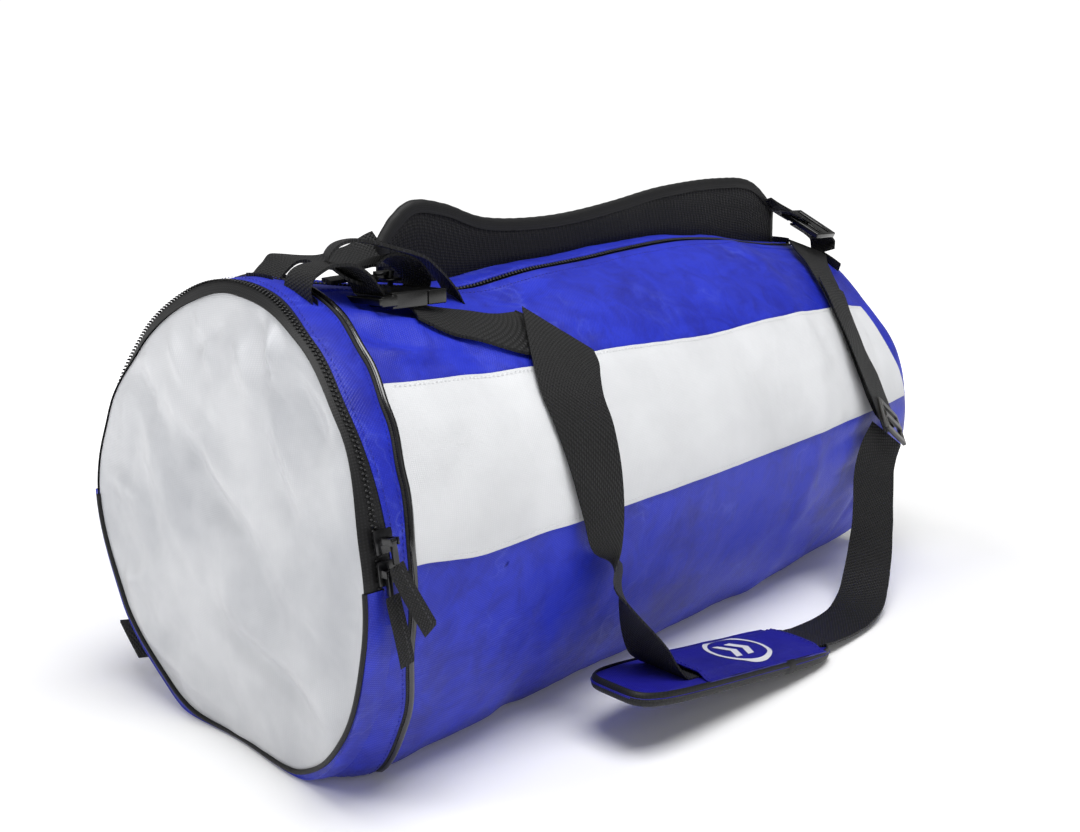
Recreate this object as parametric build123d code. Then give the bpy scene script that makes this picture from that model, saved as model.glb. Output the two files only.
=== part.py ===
from build123d import *
from math import cos, sin, radians, sqrt
import os

# Barrel duffel bag lying on its flat base. Millimetres.
# +X runs along the barrel from the end with the zipped pocket, -Y is the striped front, +Z is up.
# The origin is on the floor under the middle of the barrel.

# ---- overall sizes
barrel_r = 150.0
barrel_len = 650.0
base_sag = 7.0
cloth = 1.5
gusset = 40.0
end_zip_band = 26.0
centre_z = barrel_r - base_sag
near_x = -barrel_len / 2
far_x = barrel_len / 2
seam_x = near_x + gusset
zip_side_x = near_x + end_zip_band

# ---- panel limits round the barrel, degrees from the front, over the top
stripe_low = 2.0
stripe_high = 42.0
back_low = 114.0
zip_angle = 82.0

# ---- clearances
gap = 0.3
lip_gap = 0.5
strap_gap = 0.4

# ---- zips
tape_w = 10.2
zip_slot = 2.4
coil_w = 1.6
coil_h = 1.9
coil_gap = 0.05
lip_near = -102.0
lip_far = 208.0
main_zip_near = -215.0
main_zip_far = 290.0
end_zip_low = 1.0
fold_angle = 15.0
slider_a_angle = 11.0
slider_b_angle = 4.7
main_slider_x = -205.0
slider_len = 13.0
slider_w = 12.0
plate_t = 1.6
post_w = 1.2
pin_r = 1.0
pin_play = 0.08
tab_len = 38.0
tab_w = 10.0
tab_t = 2.0

# ---- webbing, buckles, pads
web_w = 38.0
web_t = 2.0
loop_w = 36.0
pad_len = 214.0
pad_w = 62.0
pad_t = 8.0
pad_near = (-158.0, -182.0, 46.0)
pad_far = (53.0, -195.0, 13.0)
strap_t = 8.0
strap_h = 58.0
near_loop_y = -54.0

fold_z = centre_z + barrel_r * sin(radians(fold_angle))
zip_mid_x = near_x + 13.0
turn_axis = Axis((0, 0, centre_z), (1, 0, 0))
BIG = 2000.0


def ring_point(r, angle):
    a = radians(angle)
    return (-r * cos(a), centre_z + r * sin(a))


def arc_deg(width, r):
    return width / r * 57.29578


def wedge(low, high):
    steps = max(2, int((high - low) / 20) + 1)
    pts = [(0, centre_z)]
    for i in range(steps + 1):
        pts.append(ring_point(600, low + (high - low) * i / steps))
    return make_face(Polyline(*pts, close=True))


def disc(r):
    return Pos(0, centre_z) * Circle(r)


def above(z):
    return Pos(0, z + BIG / 2) * Rectangle(BIG, BIG)


def along_x(profile, x0, x1):
    return extrude(Plane.YZ.offset(x0) * profile, x1 - x0)


def shell_profile():
    outer = disc(barrel_r) & above(0)
    inner = disc(barrel_r - cloth) & above(cloth)
    return outer - inner


def panel(low, high, x0, x1):
    return along_x(shell_profile() & wedge(low, high), x0, x1)


def band(r0, r1, low, high, x0, x1):
    return along_x((disc(r1) - disc(r0)) & wedge(low, high), x0, x1)


def keep_above(part, z):
    return part & Pos(0, 0, z + BIG / 2) * Box(BIG, BIG, BIG)


def keep_below(part, z):
    return part & Pos(0, 0, z - BIG / 2) * Box(BIG, BIG, BIG)


def join(parts):
    total = parts[0]
    for one in parts[1:]:
        total = total + one
    return total


def group(parts):
    return Compound(children=[s for p in parts for s in p.solids()])


def turn(part, angle):
    return part.rotate(turn_axis, -angle)


# ---- barrel panels
def body_panel():
    return panel(back_low, 360 + stripe_low, seam_x, far_x - cloth)


def front_stripe():
    return panel(stripe_low, stripe_high, seam_x, far_x - cloth)


def zip_half():
    return arc_deg(zip_slot / 2, barrel_r)


def tape_deg():
    return arc_deg(8.0, barrel_r)


def back_top_panel():
    low = zip_angle + zip_half() + tape_deg()
    return panel(low, back_low, main_zip_near, far_x - cloth)


def near_top_panel():
    front = panel(stripe_high, zip_angle - zip_half() - tape_deg(), main_zip_near, lip_near - lip_gap)
    whole = panel(stripe_high, back_low, seam_x, main_zip_near)
    return front + whole


def far_top_panel():
    front = panel(stripe_high, zip_angle - zip_half() - tape_deg(), lip_far + lip_gap, far_x - cloth)
    closing = panel(zip_angle - zip_half() - tape_deg(), zip_angle + zip_half() + tape_deg(),
                    main_zip_far, far_x - cloth)
    return front + closing


def mouth_lip():
    low = stripe_high + arc_deg(gap, barrel_r)
    return panel(low, zip_angle - zip_half() - tape_deg(), lip_near, lip_far)


def main_tape(front, x0, x1):
    if front:
        return panel(zip_angle - zip_half() - tape_deg(), zip_angle - zip_half(), x0, x1)
    return panel(zip_angle + zip_half(), zip_angle + zip_half() + tape_deg(), x0, x1)


def main_coil(front, x0, x1):
    edge = zip_half()
    wide = arc_deg(coil_w, barrel_r)
    low = zip_angle - edge - wide if front else zip_angle + edge
    r0 = barrel_r + coil_gap
    return band(r0, r0 + coil_h, low, low + wide, x0, x1)


def zip_cover(front, x0, x1):
    away = arc_deg(8.2, barrel_r)
    wide = arc_deg(6.0, barrel_r)
    low = zip_angle - away - wide if front else zip_angle + away
    return band(barrel_r + coil_gap, barrel_r + 1.1, low, low + wide, x0, x1)


# ---- end pocket
def near_gusset():
    lower = panel(180 - end_zip_low, 360 + end_zip_low, near_x + cloth, seam_x)
    upper = panel(end_zip_low, 180 - end_zip_low, zip_side_x, seam_x)
    return lower + upper


def end_tape_fixed():
    return panel(end_zip_low, 180 - end_zip_low, zip_mid_x + zip_slot / 2, zip_side_x)


def end_tape_parked():
    both = panel(end_zip_low, 180 - end_zip_low, near_x + cloth, zip_mid_x - zip_slot / 2)
    return keep_below(both, fold_z)


def flap_tape():
    both = panel(end_zip_low, 180 - end_zip_low, near_x + cloth, zip_mid_x - zip_slot / 2)
    return keep_above(both, fold_z + gap)


def end_coil(x0):
    r0 = barrel_r + coil_gap
    return band(r0, r0 + coil_h, end_zip_low, 180 - end_zip_low, x0, x0 + coil_w)


def coil_fixed():
    return end_coil(zip_mid_x + zip_slot / 2)


def coil_parked():
    return keep_below(end_coil(zip_mid_x - zip_slot / 2 - coil_w), fold_z)


def coil_flap():
    return keep_above(end_coil(zip_mid_x - zip_slot / 2 - coil_w), fold_z + gap)


def near_disc():
    return along_x(disc(barrel_r) & above(0), near_x, near_x + cloth)


def end_panel_lower():
    return keep_below(near_disc(), fold_z)


def end_flap():
    return keep_above(near_disc(), fold_z + gap)


def far_panel():
    return along_x(disc(barrel_r) & above(0), far_x - cloth, far_x)


def partition():
    return along_x(disc(barrel_r - cloth - 0.2) & above(cloth + 0.1), seam_x + 1, seam_x + 2)


def base_board():
    size_x = far_x - seam_x - 20
    return Pos((far_x + seam_x) / 2, 0, cloth + 1.2) * Box(size_x, 74, 2.0)


def piping(x, r, size, z_low):
    spot = Plane.XZ * (Pos(x, centre_z + r) * Circle(size))
    ring = revolve(spot, turn_axis, 360)
    ring = ring - along_x(disc(barrel_r + 0.05), x - 10, x + 10)
    return keep_above(ring, z_low)


def seam_piping():
    return piping(seam_x, barrel_r + 1.5, 2.8, 0.3)


def edge_piping():
    return keep_below(piping(near_x + 2.4, barrel_r + 1.3, 2.2, 0.3), centre_z - 4)


def far_piping():
    return piping(far_x - 2.4, barrel_r + 0.9, 1.7, 0.3)


def zip_garages():
    r0 = barrel_r + coil_gap
    front = band(r0, r0 + 1.6, -5, 0.7, near_x + 5, zip_side_x)
    back = band(r0, r0 + 1.6, 179.3, 185, near_x + 5, zip_side_x)
    return group([front, back])


# ---- zip sliders, built at the front of the barrel and turned into place
def slider(r_top, x, cheek_x):
    r_mid = barrel_r + coil_gap + coil_h + 0.5
    top = Pos(x, -(r_mid + plate_t / 2), centre_z) * Box(slider_w, plate_t, slider_len)
    low = Pos(x, -(barrel_r - cloth - 1.2 - plate_t / 2), centre_z) * Box(slider_w, plate_t, slider_len)
    deep = r_mid - (barrel_r - cloth - 1.2)
    post = Pos(x, -(r_mid - deep / 2), centre_z + 2) * Box(post_w, deep, 4)
    body = top + low + post
    for side in cheek_x:
        high = r_top + 1.8 - r_mid - plate_t
        cheek = Pos(side, -(r_mid + plate_t + high / 2), centre_z) * Box(1.0, high, 4.0)
        body = body + cheek
    bar_len = cheek_x[1] - cheek_x[0]
    bar = Pos((cheek_x[0] + cheek_x[1]) / 2, -r_top, centre_z) * Rot(0, 90, 0) * Cylinder(pin_r, bar_len)
    return body + bar


def puller(r_top, x, wide):
    eye = Pos(x, -r_top, centre_z - 5.2) * Box(wide, 2.6, 14)
    eye = eye + Pos(x, -r_top, centre_z) * Rot(0, 90, 0) * Cylinder(1.6, wide)
    hole = Pos(x, -r_top, centre_z) * Rot(0, 90, 0) * Cylinder(pin_r + pin_play, wide + 2)
    return eye - hole


def pull_tab(r_top, x):
    return Pos(x, -r_top, centre_z - 12.3 - tab_len / 2) * Box(tab_w, tab_t, tab_len)


a_cheeks = (zip_mid_x - 2.2, zip_mid_x + 2.8)
b_cheeks = (zip_mid_x - 4.0, zip_mid_x + 0.9)


def slider_a():
    return turn(slider(161.0, zip_mid_x, a_cheeks), slider_a_angle)


def puller_a():
    return turn(puller(161.0, zip_mid_x + 0.3, 3.0), slider_a_angle)


def tab_a():
    return turn(pull_tab(161.0, zip_mid_x + 5.4), slider_a_angle)


def slider_b():
    return turn(slider(156.6, zip_mid_x, b_cheeks), slider_b_angle)


def puller_b():
    return turn(puller(156.6, zip_mid_x - 1.6, 2.8), slider_b_angle)


def tab_b():
    return turn(pull_tab(156.6, zip_mid_x - 5.3), slider_b_angle)


# The barrel slider's cross direction is round the barrel, so the same shape is laid along X.
def lay_along(part):
    laid = part.rotate(turn_axis, 0)
    laid = laid.moved(Location((-zip_mid_x, 0, 0)))
    laid = laid.rotate(Axis((0, 0, centre_z), (0, 1, 0)), 90)
    laid = laid.moved(Location((main_slider_x, 0, 0)))
    return turn(laid, zip_angle)


m_cheeks = (zip_mid_x - 2.4, zip_mid_x + 2.4)


def main_slider():
    return lay_along(slider(157.0, zip_mid_x, m_cheeks))


def main_puller():
    return lay_along(puller(157.0, zip_mid_x, 3.0))


def main_tab():
    return lay_along(pull_tab(157.0, zip_mid_x))


# ---- webbing strips: a flat section swept through points, each with the normal of its face
def strip(path, wide, thick):
    rings = []
    count = len(path)
    for i, (spot, normal) in enumerate(path):
        p = Vector(*spot)
        before = Vector(*path[max(i - 1, 0)][0])
        after = Vector(*path[min(i + 1, count - 1)][0])
        way = (after - before).normalized()
        n = Vector(*normal)
        n = (n - way * n.dot(way)).normalized()
        across = way.cross(n).normalized()
        a = across * (wide / 2)
        b = n * (thick / 2)
        rings.append([p - a - b, p + a - b, p + a + b, p - a + b])
    faces = [quad(rings[0][::-1])]
    for low, high in zip(rings, rings[1:]):
        for k in range(4):
            m = (k + 1) % 4
            faces.append(triangle(low[k], low[m], high[m]))
            faces.append(triangle(low[k], high[m], high[k]))
    faces.append(quad(rings[-1]))
    solid = Solid(Shell(faces))
    if solid.volume < 0:
        solid = Solid(solid.wrapped.Reversed())
    return solid


def triangle(a, b, c):
    return Face(Wire.make_polygon([a, b, c], close=True))


def quad(points):
    return Face(Wire.make_polygon(points, close=True))


def on_barrel(x, angle, r):
    y, z = ring_point(r, angle)
    flat = radians(angle)
    return ((x, y, z), (0, -cos(flat), sin(flat)))


def along_pad(share):
    return tuple(pad_near[i] + (pad_far[i] - pad_near[i]) * share for i in range(3))


pad_up = (0.155, -0.004, 0.988)


def near_run():
    path = []
    for x, angle in ((-190, 58), (-176, 57), (-160, 56), (-146, 55)):
        path.append(on_barrel(x, angle, 155.5))
    return strip(path, web_w, web_t)


def near_drop():
    path = []
    for x, angle in ((-129, 53), (-135, 44), (-140, 33), (-143, 22), (-143, 12), (-142, 3)):
        path.append(on_barrel(x, angle, 160.0))
    path.append(((-140, -161, 130), (0, -1, 0)))
    path.append(((-138, -163, 110), (0.35, -0.94, 0)))
    path.append(((-135, -167, 90), (0.75, -0.66, 0)))
    path.append(((-131, -173, 72), (0.95, -0.3, 0.1)))
    path.append(((-126, -179, 57), (0.98, -0.05, 0.2)))
    path.append(((-119, -183, 46), (0.75, 0, 0.66)))
    path.append((along_pad(0.222), pad_up))
    path.append((along_pad(0.24), pad_up))
    return strip(path, web_w, web_t)


def pad_webbing():
    path = [(along_pad(share), pad_up) for share in (0.242, 0.6, 1.0, 1.07)]
    return strip(path, web_w, web_t)


far_line = (((219.0, -164.0, 106.0), (0, -1, 0.1)), ((236.0, -159.5, 172.0), (0, -1, 0.1)))


def far_drop():
    path = [
        (along_pad(1.072), pad_up),
        (along_pad(1.09), pad_up),
        ((100, -196.5, 8.5), (-0.02, -0.02, 1)),
        ((128, -196, 9), (-0.1, -0.06, 1)),
        ((152, -193, 15), (-0.4, -0.25, 0.9)),
        ((170, -188, 27), (-0.62, -0.45, 0.6)),
        ((184, -182, 42), (-0.7, -0.62, 0.35)),
        ((200, -175, 64), (-0.5, -0.85, 0.2)),
        ((211, -169, 85), (-0.2, -0.97, 0.1)),
        far_line[0],
        far_line[1],
    ]
    return strip(path, web_w, web_t)


def far_line_point(share, out):
    low, high = far_line[0][0], far_line[1][0]
    x, y, z = (low[i] + (high[i] - low[i]) * share for i in range(3))
    return ((x, y - out, z + out * 0.1), (0, -1, 0.1))


def far_rise(out):
    path = [far_line_point(1.01, out), far_line_point(1.09, out)]
    for x, angle in ((238, 22), (240, 31), (246, 41), (256, 51), (268, 58), (281, 61)):
        path.append(on_barrel(x, angle, 156.5 + out))
    return strip(path, web_w, web_t)


def near_slack():
    y = near_loop_y
    path = [((-284, y, 318.5), (0, 0, 1)), ((-268, y, 323), (-0.2, 0, 1)), ((-246, y, 326), (0, 0, 1)),
            ((-222, y, 325), (0.15, 0, 1)), ((-200, y, 320), (0.4, 0, 0.9)), ((-184, y, 312), (0.7, 0, 0.7)),
            ((-177, y - 3, 299), (0.95, 0, 0.3)), ((-176, y - 4, 292), (1, 0, 0.1))]
    return strip(path, loop_w, web_t)


def anchor_loop():
    outer = RectangleRounded(38, 15, 6)
    inner = RectangleRounded(34, 11, 4)
    loop = extrude(Plane.XZ * (outer - inner), loop_w / 2, both=True)
    return loop.moved(Location((-273, near_loop_y, 306.5)))


def buckle_female():
    y = near_loop_y
    z = 306.5
    body = Pos(-236, y, z) * Box(28, 38, 10)
    body = body - Pos(-233, y, z) * Box(28, 31, 6)
    bar = Pos(-259, y, z) * Box(4, 2 * 20.2, 4)
    arms = []
    for side in (-1, 1):
        arms.append(Pos(-253, y + side * 19.3, z) * Box(12, 1.8, 6))
    plate = Pos(-251, y, z) * Box(3, 38, 6)
    return join([body, plate, bar] + arms)


def buckle_male():
    y = near_loop_y
    z = 306.5
    body = Pos(-213.5, y, z) * Box(15, 38, 9)
    body = body - Pos(-211, y, z) * Box(5, 33, 12)
    parts = [body]
    for side in (-1, 1):
        parts.append(Pos(-230, y + side * 12, z) * Box(20, 3.2, 4))
    parts.append(Pos(-230, y, z) * Box(20, 4, 4))
    return join(parts)


def tri_glide():
    low = Vector(*far_line[0][0])
    high = Vector(*far_line[1][0])
    way = (high - low).normalized()
    spot = low + (high - low) * 0.5
    n = Vector(0, -1, 0.1)
    n = (n - way * n.dot(way)).normalized()
    place = Plane(origin=spot, x_dir=way.cross(n), z_dir=way)
    frame = Box(48, 9, 32) - Box(web_w + 2, 5, 40)
    frame = frame - Pos(0, 4, 8.5) * Box(web_w, 6, 9) - Pos(0, 4, -8.5) * Box(web_w, 6, 9)
    frame = frame - Pos(0, -4, 8.5) * Box(web_w, 6, 9) - Pos(0, -4, -8.5) * Box(web_w, 6, 9)
    return place * frame


def far_anchor_loop():
    path = [on_barrel(294, 61.5, 158), on_barrel(298, 61.5, 163), on_barrel(298, 61.5, 170),
            on_barrel(292, 61.5, 175), on_barrel(284, 61.5, 176)]
    path = [(spot, (1, 0, 0)) for spot, _ in path]
    path[3] = (path[3][0], (0.6, -0.3, 0.7))
    path[4] = (path[4][0], on_barrel(0, 61.5, 1)[1])
    return strip(path, web_w - 2, web_t)


def ladder_lock():
    y, z = ring_point(176, 61.5)
    place = Plane(origin=(266, y, z), x_dir=(1, 0, 0), z_dir=on_barrel(0, 61.5, 1)[1])
    lock = Box(34, 44, 5) - Pos(-8, 0, 0) * Box(6, 38, 8) - Pos(8, 0, 0) * Box(6, 38, 8)
    return place * lock


def ladder_tail():
    path = [on_barrel(248, 61.5, 179.5), on_barrel(232, 62, 181), on_barrel(220, 62, 180)]
    return strip(path, web_w - 2, web_t)


def seam_tab(low, high, x0, x1):
    return band(barrel_r + 0.1, barrel_r + 6.0, low, high, x0, x1)


def seam_tabs_near():
    front = seam_tab(62, 76, seam_x - 7, seam_x - 4)
    back = seam_tab(83, 97, seam_x - 7, seam_x - 4)
    return group([front, back])


def seam_tabs_far():
    front = seam_tab(54, 69, 305, 308)
    back = seam_tab(83, 97, 312, 315)
    return group([front, back])


def rear_tab():
    return strip([((-300, 118, 40), (0, 0.5, 0.85)), ((-308, 132, 28), (-0.2, 0.5, 0.85)),
                  ((-318, 144, 18), (-0.4, 0.5, 0.8))], 30, web_t)


# ---- shoulder pad, built flat about its middle and laid along the webbing
def pad_place():
    spot = along_pad(0.5)
    way = tuple(pad_far[i] - pad_near[i] for i in range(3))
    return Plane(origin=spot, x_dir=way, z_dir=pad_up)


def pad_slab(length, wide, corner, z0, z1):
    return extrude(Pos(0, 0, z0) * RectangleRounded(length, wide, corner), z1 - z0)


def pad_base():
    top = -web_t / 2 - strap_gap
    return pad_place() * pad_slab(pad_len, pad_w, 18, top - pad_t, top)


def pad_binding():
    top = -web_t / 2 - strap_gap
    outer = pad_slab(pad_len + 4.4, pad_w + 4.4, 20, top - pad_t - 0.6, top + 1.2)
    inner = pad_slab(pad_len + 0.2, pad_w + 0.2, 18, top - pad_t - 5, top + 5)
    ring = outer - inner
    slot = Pos(0, 0, top + 6) * Box(400, web_w + 1.6, 12)
    return pad_place() * (ring - slot)


def pad_cover():
    top = -web_t / 2 - strap_gap
    cover = Pos(8, 0, top + 2.6) * Box(104, 58, 5.2)
    channel = Pos(0, 0, top + 1.8) * Box(200, web_w + 1.2, 3.6 + 0.02)
    return pad_place() * (cover - channel)


# ---- padded strap standing on edge along the top, leaning about the line of its two ends
strap_near = (-181.0, 18.0, 300.0)
strap_far = (300.0, -3.0, 300.0)
strap_top = ((-181, 316), (-167, 332), (-149, 342), (-120, 339), (-79, 328), (-12, 328),
             (63, 338), (132, 350), (210, 356), (262, 353), (300, 330))


def strap_plane():
    way = tuple(strap_far[i] - strap_near[i] for i in range(3))
    side = Vector(*way).normalized().cross(Vector(0, 0, 1))
    return Plane(origin=(strap_near[0], strap_near[1], 0), x_dir=way, z_dir=side)


def strap_outline(shrink):
    tops = [(x - strap_near[0], z - shrink) for x, z in strap_top]
    lows = [(x - strap_near[0], max(301.0, z - strap_h) + shrink) for x, z in strap_top]
    return make_face(Polyline(*tops, *lows[::-1], close=True))


def padded_strap():
    return strap_plane() * extrude(strap_outline(3.2), strap_t / 2, both=True)


def padded_binding():
    rim = strap_outline(0) - strap_outline(3.2)
    return strap_plane() * extrude(rim, strap_t / 2 + 0.8, both=True)


def padded_ends():
    near = strip([((-280, 17, 306), (0, -1, 0)), ((-240, 19, 306), (0, -1, 0)),
                  ((-186, 18.2, 308), (0, -1, 0))], 10, web_t)
    far = strip([((306, -3.3, 314), (0, -1, 0)), ((315, -3.8, 304), (0, -1, 0))], 12, web_t)
    return group([near, far])


def build_all():
    nodes = {
        "body_panel": body_panel(),
        "front_stripe": front_stripe(),
        "back_top_panel": back_top_panel(),
        "near_top_panel": near_top_panel(),
        "far_top_panel": far_top_panel(),
        "mouth_lip": mouth_lip(),
        "main_zip_tape_fixed": group([main_tape(False, main_zip_near, main_zip_far),
                                      main_tape(True, main_zip_near, lip_near - lip_gap),
                                      main_tape(True, lip_far + lip_gap, main_zip_far)]),
        "mouth_lip_zip_tape": main_tape(True, lip_near, lip_far),
        "main_zip_coil_fixed": group([main_coil(False, main_zip_near, main_zip_far),
                                      main_coil(True, main_zip_near, lip_near - lip_gap),
                                      main_coil(True, lip_far + lip_gap, main_zip_far)]),
        "mouth_lip_coil": main_coil(True, lip_near, lip_far),
        "zip_cover_back": zip_cover(False, main_zip_near, main_zip_far),
        "mouth_lip_zip_cover": zip_cover(True, lip_near, lip_far),
        "near_gusset": near_gusset(),
        "end_zip_tape_fixed": group([end_tape_fixed(), end_tape_parked()]),
        "end_flap_zip_tape": flap_tape(),
        "end_zip_coil_fixed": group([coil_fixed(), coil_parked()]),
        "end_flap_coil": coil_flap(),
        "end_panel_lower": end_panel_lower(),
        "end_flap": end_flap(),
        "far_end_panel": far_panel(),
        "pocket_partition": partition(),
        "base_board": base_board(),
        "seam_piping": seam_piping(),
        "end_panel_piping": edge_piping(),
        "far_piping": far_piping(),
        "end_zip_garages": zip_garages(),
        "end_zip_slider_a": slider_a(),
        "end_zip_puller_a": puller_a(),
        "end_zip_tab_a": tab_a(),
        "end_zip_slider_b": slider_b(),
        "end_zip_puller_b": puller_b(),
        "end_zip_tab_b": tab_b(),
        "main_zip_slider": main_slider(),
        "main_zip_puller": main_puller(),
        "main_zip_tab": main_tab(),
        "strap_near_run": near_run(),
        "strap_near_drop": near_drop(),
        "strap_pad_webbing": pad_webbing(),
        "strap_far_drop": far_drop(),
        "strap_far_rise": far_rise(0),
        "strap_far_double": far_rise(2.5),
        "strap_near_slack": near_slack(),
        "strap_near_loop": anchor_loop(),
        "buckle_female": buckle_female(),
        "buckle_male": buckle_male(),
        "tri_glide": tri_glide(),
        "strap_far_loop": far_anchor_loop(),
        "ladder_lock": ladder_lock(),
        "ladder_tail": ladder_tail(),
        "seam_tabs_near": seam_tabs_near(),
        "seam_tabs_far": seam_tabs_far(),
        "rear_tab": rear_tab(),
        "shoulder_pad_base": pad_base(),
        "shoulder_pad_binding": pad_binding(),
        "shoulder_pad_cover": pad_cover(),
        "padded_strap": padded_strap(),
        "padded_strap_binding": padded_binding(),
        "padded_strap_ends": padded_ends(),
    }
    os.makedirs("parts", exist_ok=True)
    for name, shape in nodes.items():
        export_step(shape, "parts/" + name + ".step")


build_all()
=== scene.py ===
import math
import bpy
import bmesh
from mathutils import Matrix, Vector, noise


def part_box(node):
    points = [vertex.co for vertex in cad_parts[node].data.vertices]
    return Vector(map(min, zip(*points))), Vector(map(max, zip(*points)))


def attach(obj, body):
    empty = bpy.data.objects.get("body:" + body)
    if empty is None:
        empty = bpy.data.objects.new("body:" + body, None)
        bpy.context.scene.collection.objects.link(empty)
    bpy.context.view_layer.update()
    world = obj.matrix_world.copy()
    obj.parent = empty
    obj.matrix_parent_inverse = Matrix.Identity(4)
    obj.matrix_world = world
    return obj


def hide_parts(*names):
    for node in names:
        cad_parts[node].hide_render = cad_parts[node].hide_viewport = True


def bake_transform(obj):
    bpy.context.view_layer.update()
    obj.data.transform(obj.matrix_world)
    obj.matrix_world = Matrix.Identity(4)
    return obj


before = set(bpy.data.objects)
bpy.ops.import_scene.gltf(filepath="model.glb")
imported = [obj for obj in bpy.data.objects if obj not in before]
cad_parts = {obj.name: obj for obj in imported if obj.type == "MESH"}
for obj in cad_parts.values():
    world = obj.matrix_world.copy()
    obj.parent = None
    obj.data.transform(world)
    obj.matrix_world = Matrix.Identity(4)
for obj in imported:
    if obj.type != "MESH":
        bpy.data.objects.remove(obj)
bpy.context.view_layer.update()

# Working sizes are in millimetres and turned to metres where a mesh is made.
MM = 0.001
BARREL_R = 150.0
CENTRE_Z = 143.0
NEAR_X = -325.0
FAR_X = 325.0
SEAM_X = -285.0
ZIP_ANGLE = 82.0
FOLD_Z = CENTRE_Z + BARREL_R * math.sin(math.radians(15))
WEB_W = 38.0
WEB_T = 2.0
ANCHOR_W = 27.0
CLOTH_T = 1.4
# Degrees from the middle of the barrel's zip to the edges of its tapes and its cloth.
TAPE_IN, TAPE_OUT = 0.45, 3.2
CLOTH_IN, FOLD_IN, FOLD_FRONT, FOLD_BACK = 1.9, 1.7, 6.9, 4.2


# ---------------------------------------------------------------- materials
def tint(code):
    """sRGB hex to the linear colour that a shader takes."""
    parts = [int(code[i:i + 2], 16) / 255 for i in (1, 3, 5)]
    lin = [c / 12.92 if c <= 0.04045 else ((c + 0.055) / 1.055) ** 2.4 for c in parts]
    return (*lin, 1.0)


def add(tree, kind, inputs=None, **settings):
    """Adds one node with its settings and its values or links."""
    made = tree.nodes.new(kind)
    for key, value in settings.items():
        setattr(made, key, value)
    for key, value in (inputs or {}).items():
        if isinstance(value, bpy.types.NodeSocket):
            tree.links.new(value, made.inputs[key])
        else:
            made.inputs[key].default_value = value
    return made


def start(name, rough, **sockets):
    mat = bpy.data.materials.new(name)
    mat.use_nodes = True
    tree = mat.node_tree
    shader = tree.nodes["Principled BSDF"]
    shader.inputs["Roughness"].default_value = rough
    for key, value in sockets.items():
        shader.inputs[key.replace("_", " ")].default_value = value
    return mat, tree, shader


def ramp(tree, fac, stops):
    made = add(tree, "ShaderNodeValToRGB", {"Fac": fac})
    band = made.color_ramp
    while len(band.elements) < len(stops):
        band.elements.new(0.5)
    for element, (place, colour) in zip(band.elements, stops):
        element.position = place
        element.color = colour if isinstance(colour, tuple) else (colour, colour, colour, 1)
    return made.outputs["Color"]


def threads(tree, coord, pitch_u, pitch_v, turn=0.0):
    """Two crossing sets of yarn, pitch in metres."""
    spun = add(tree, "ShaderNodeMapping", {"Vector": coord, "Rotation": (0, 0, turn)})
    across = add(tree, "ShaderNodeTexWave", {"Vector": spun.outputs[0], "Scale": 0.314159 / pitch_u},
                 wave_type="BANDS", bands_direction="X")
    along = add(tree, "ShaderNodeTexWave", {"Vector": spun.outputs[0], "Scale": 0.314159 / pitch_v},
                wave_type="BANDS", bands_direction="Y")
    both = add(tree, "ShaderNodeMath", {0: across.outputs["Fac"], 1: along.outputs["Fac"]}, operation="MULTIPLY")
    return both.outputs[0]


def uv_coord(tree):
    return add(tree, "ShaderNodeTexCoord").outputs["UV"]


def object_coord(tree):
    return add(tree, "ShaderNodeTexCoord").outputs["Object"]


def bumps(tree, shader, layers):
    """Stacks bump layers (height, strength, distance) into the shader's normal."""
    normal = None
    for height, strength, distance in layers:
        inputs = {"Height": height, "Strength": strength, "Distance": distance}
        if normal is not None:
            inputs["Normal"] = normal
        normal = add(tree, "ShaderNodeBump", inputs).outputs["Normal"]
    tree.links.new(normal, shader.inputs["Normal"])


def paint(tree, shader, colour):
    tree.links.new(colour, shader.inputs["Base Color"])


def noise_fac(tree, coord, scale, detail=3.0, rough=0.55, distort=0.0):
    made = add(tree, "ShaderNodeTexNoise", {"Vector": coord, "Scale": scale, "Detail": detail,
                                            "Roughness": rough, "Distortion": distort})
    return made.outputs["Fac"]


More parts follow.
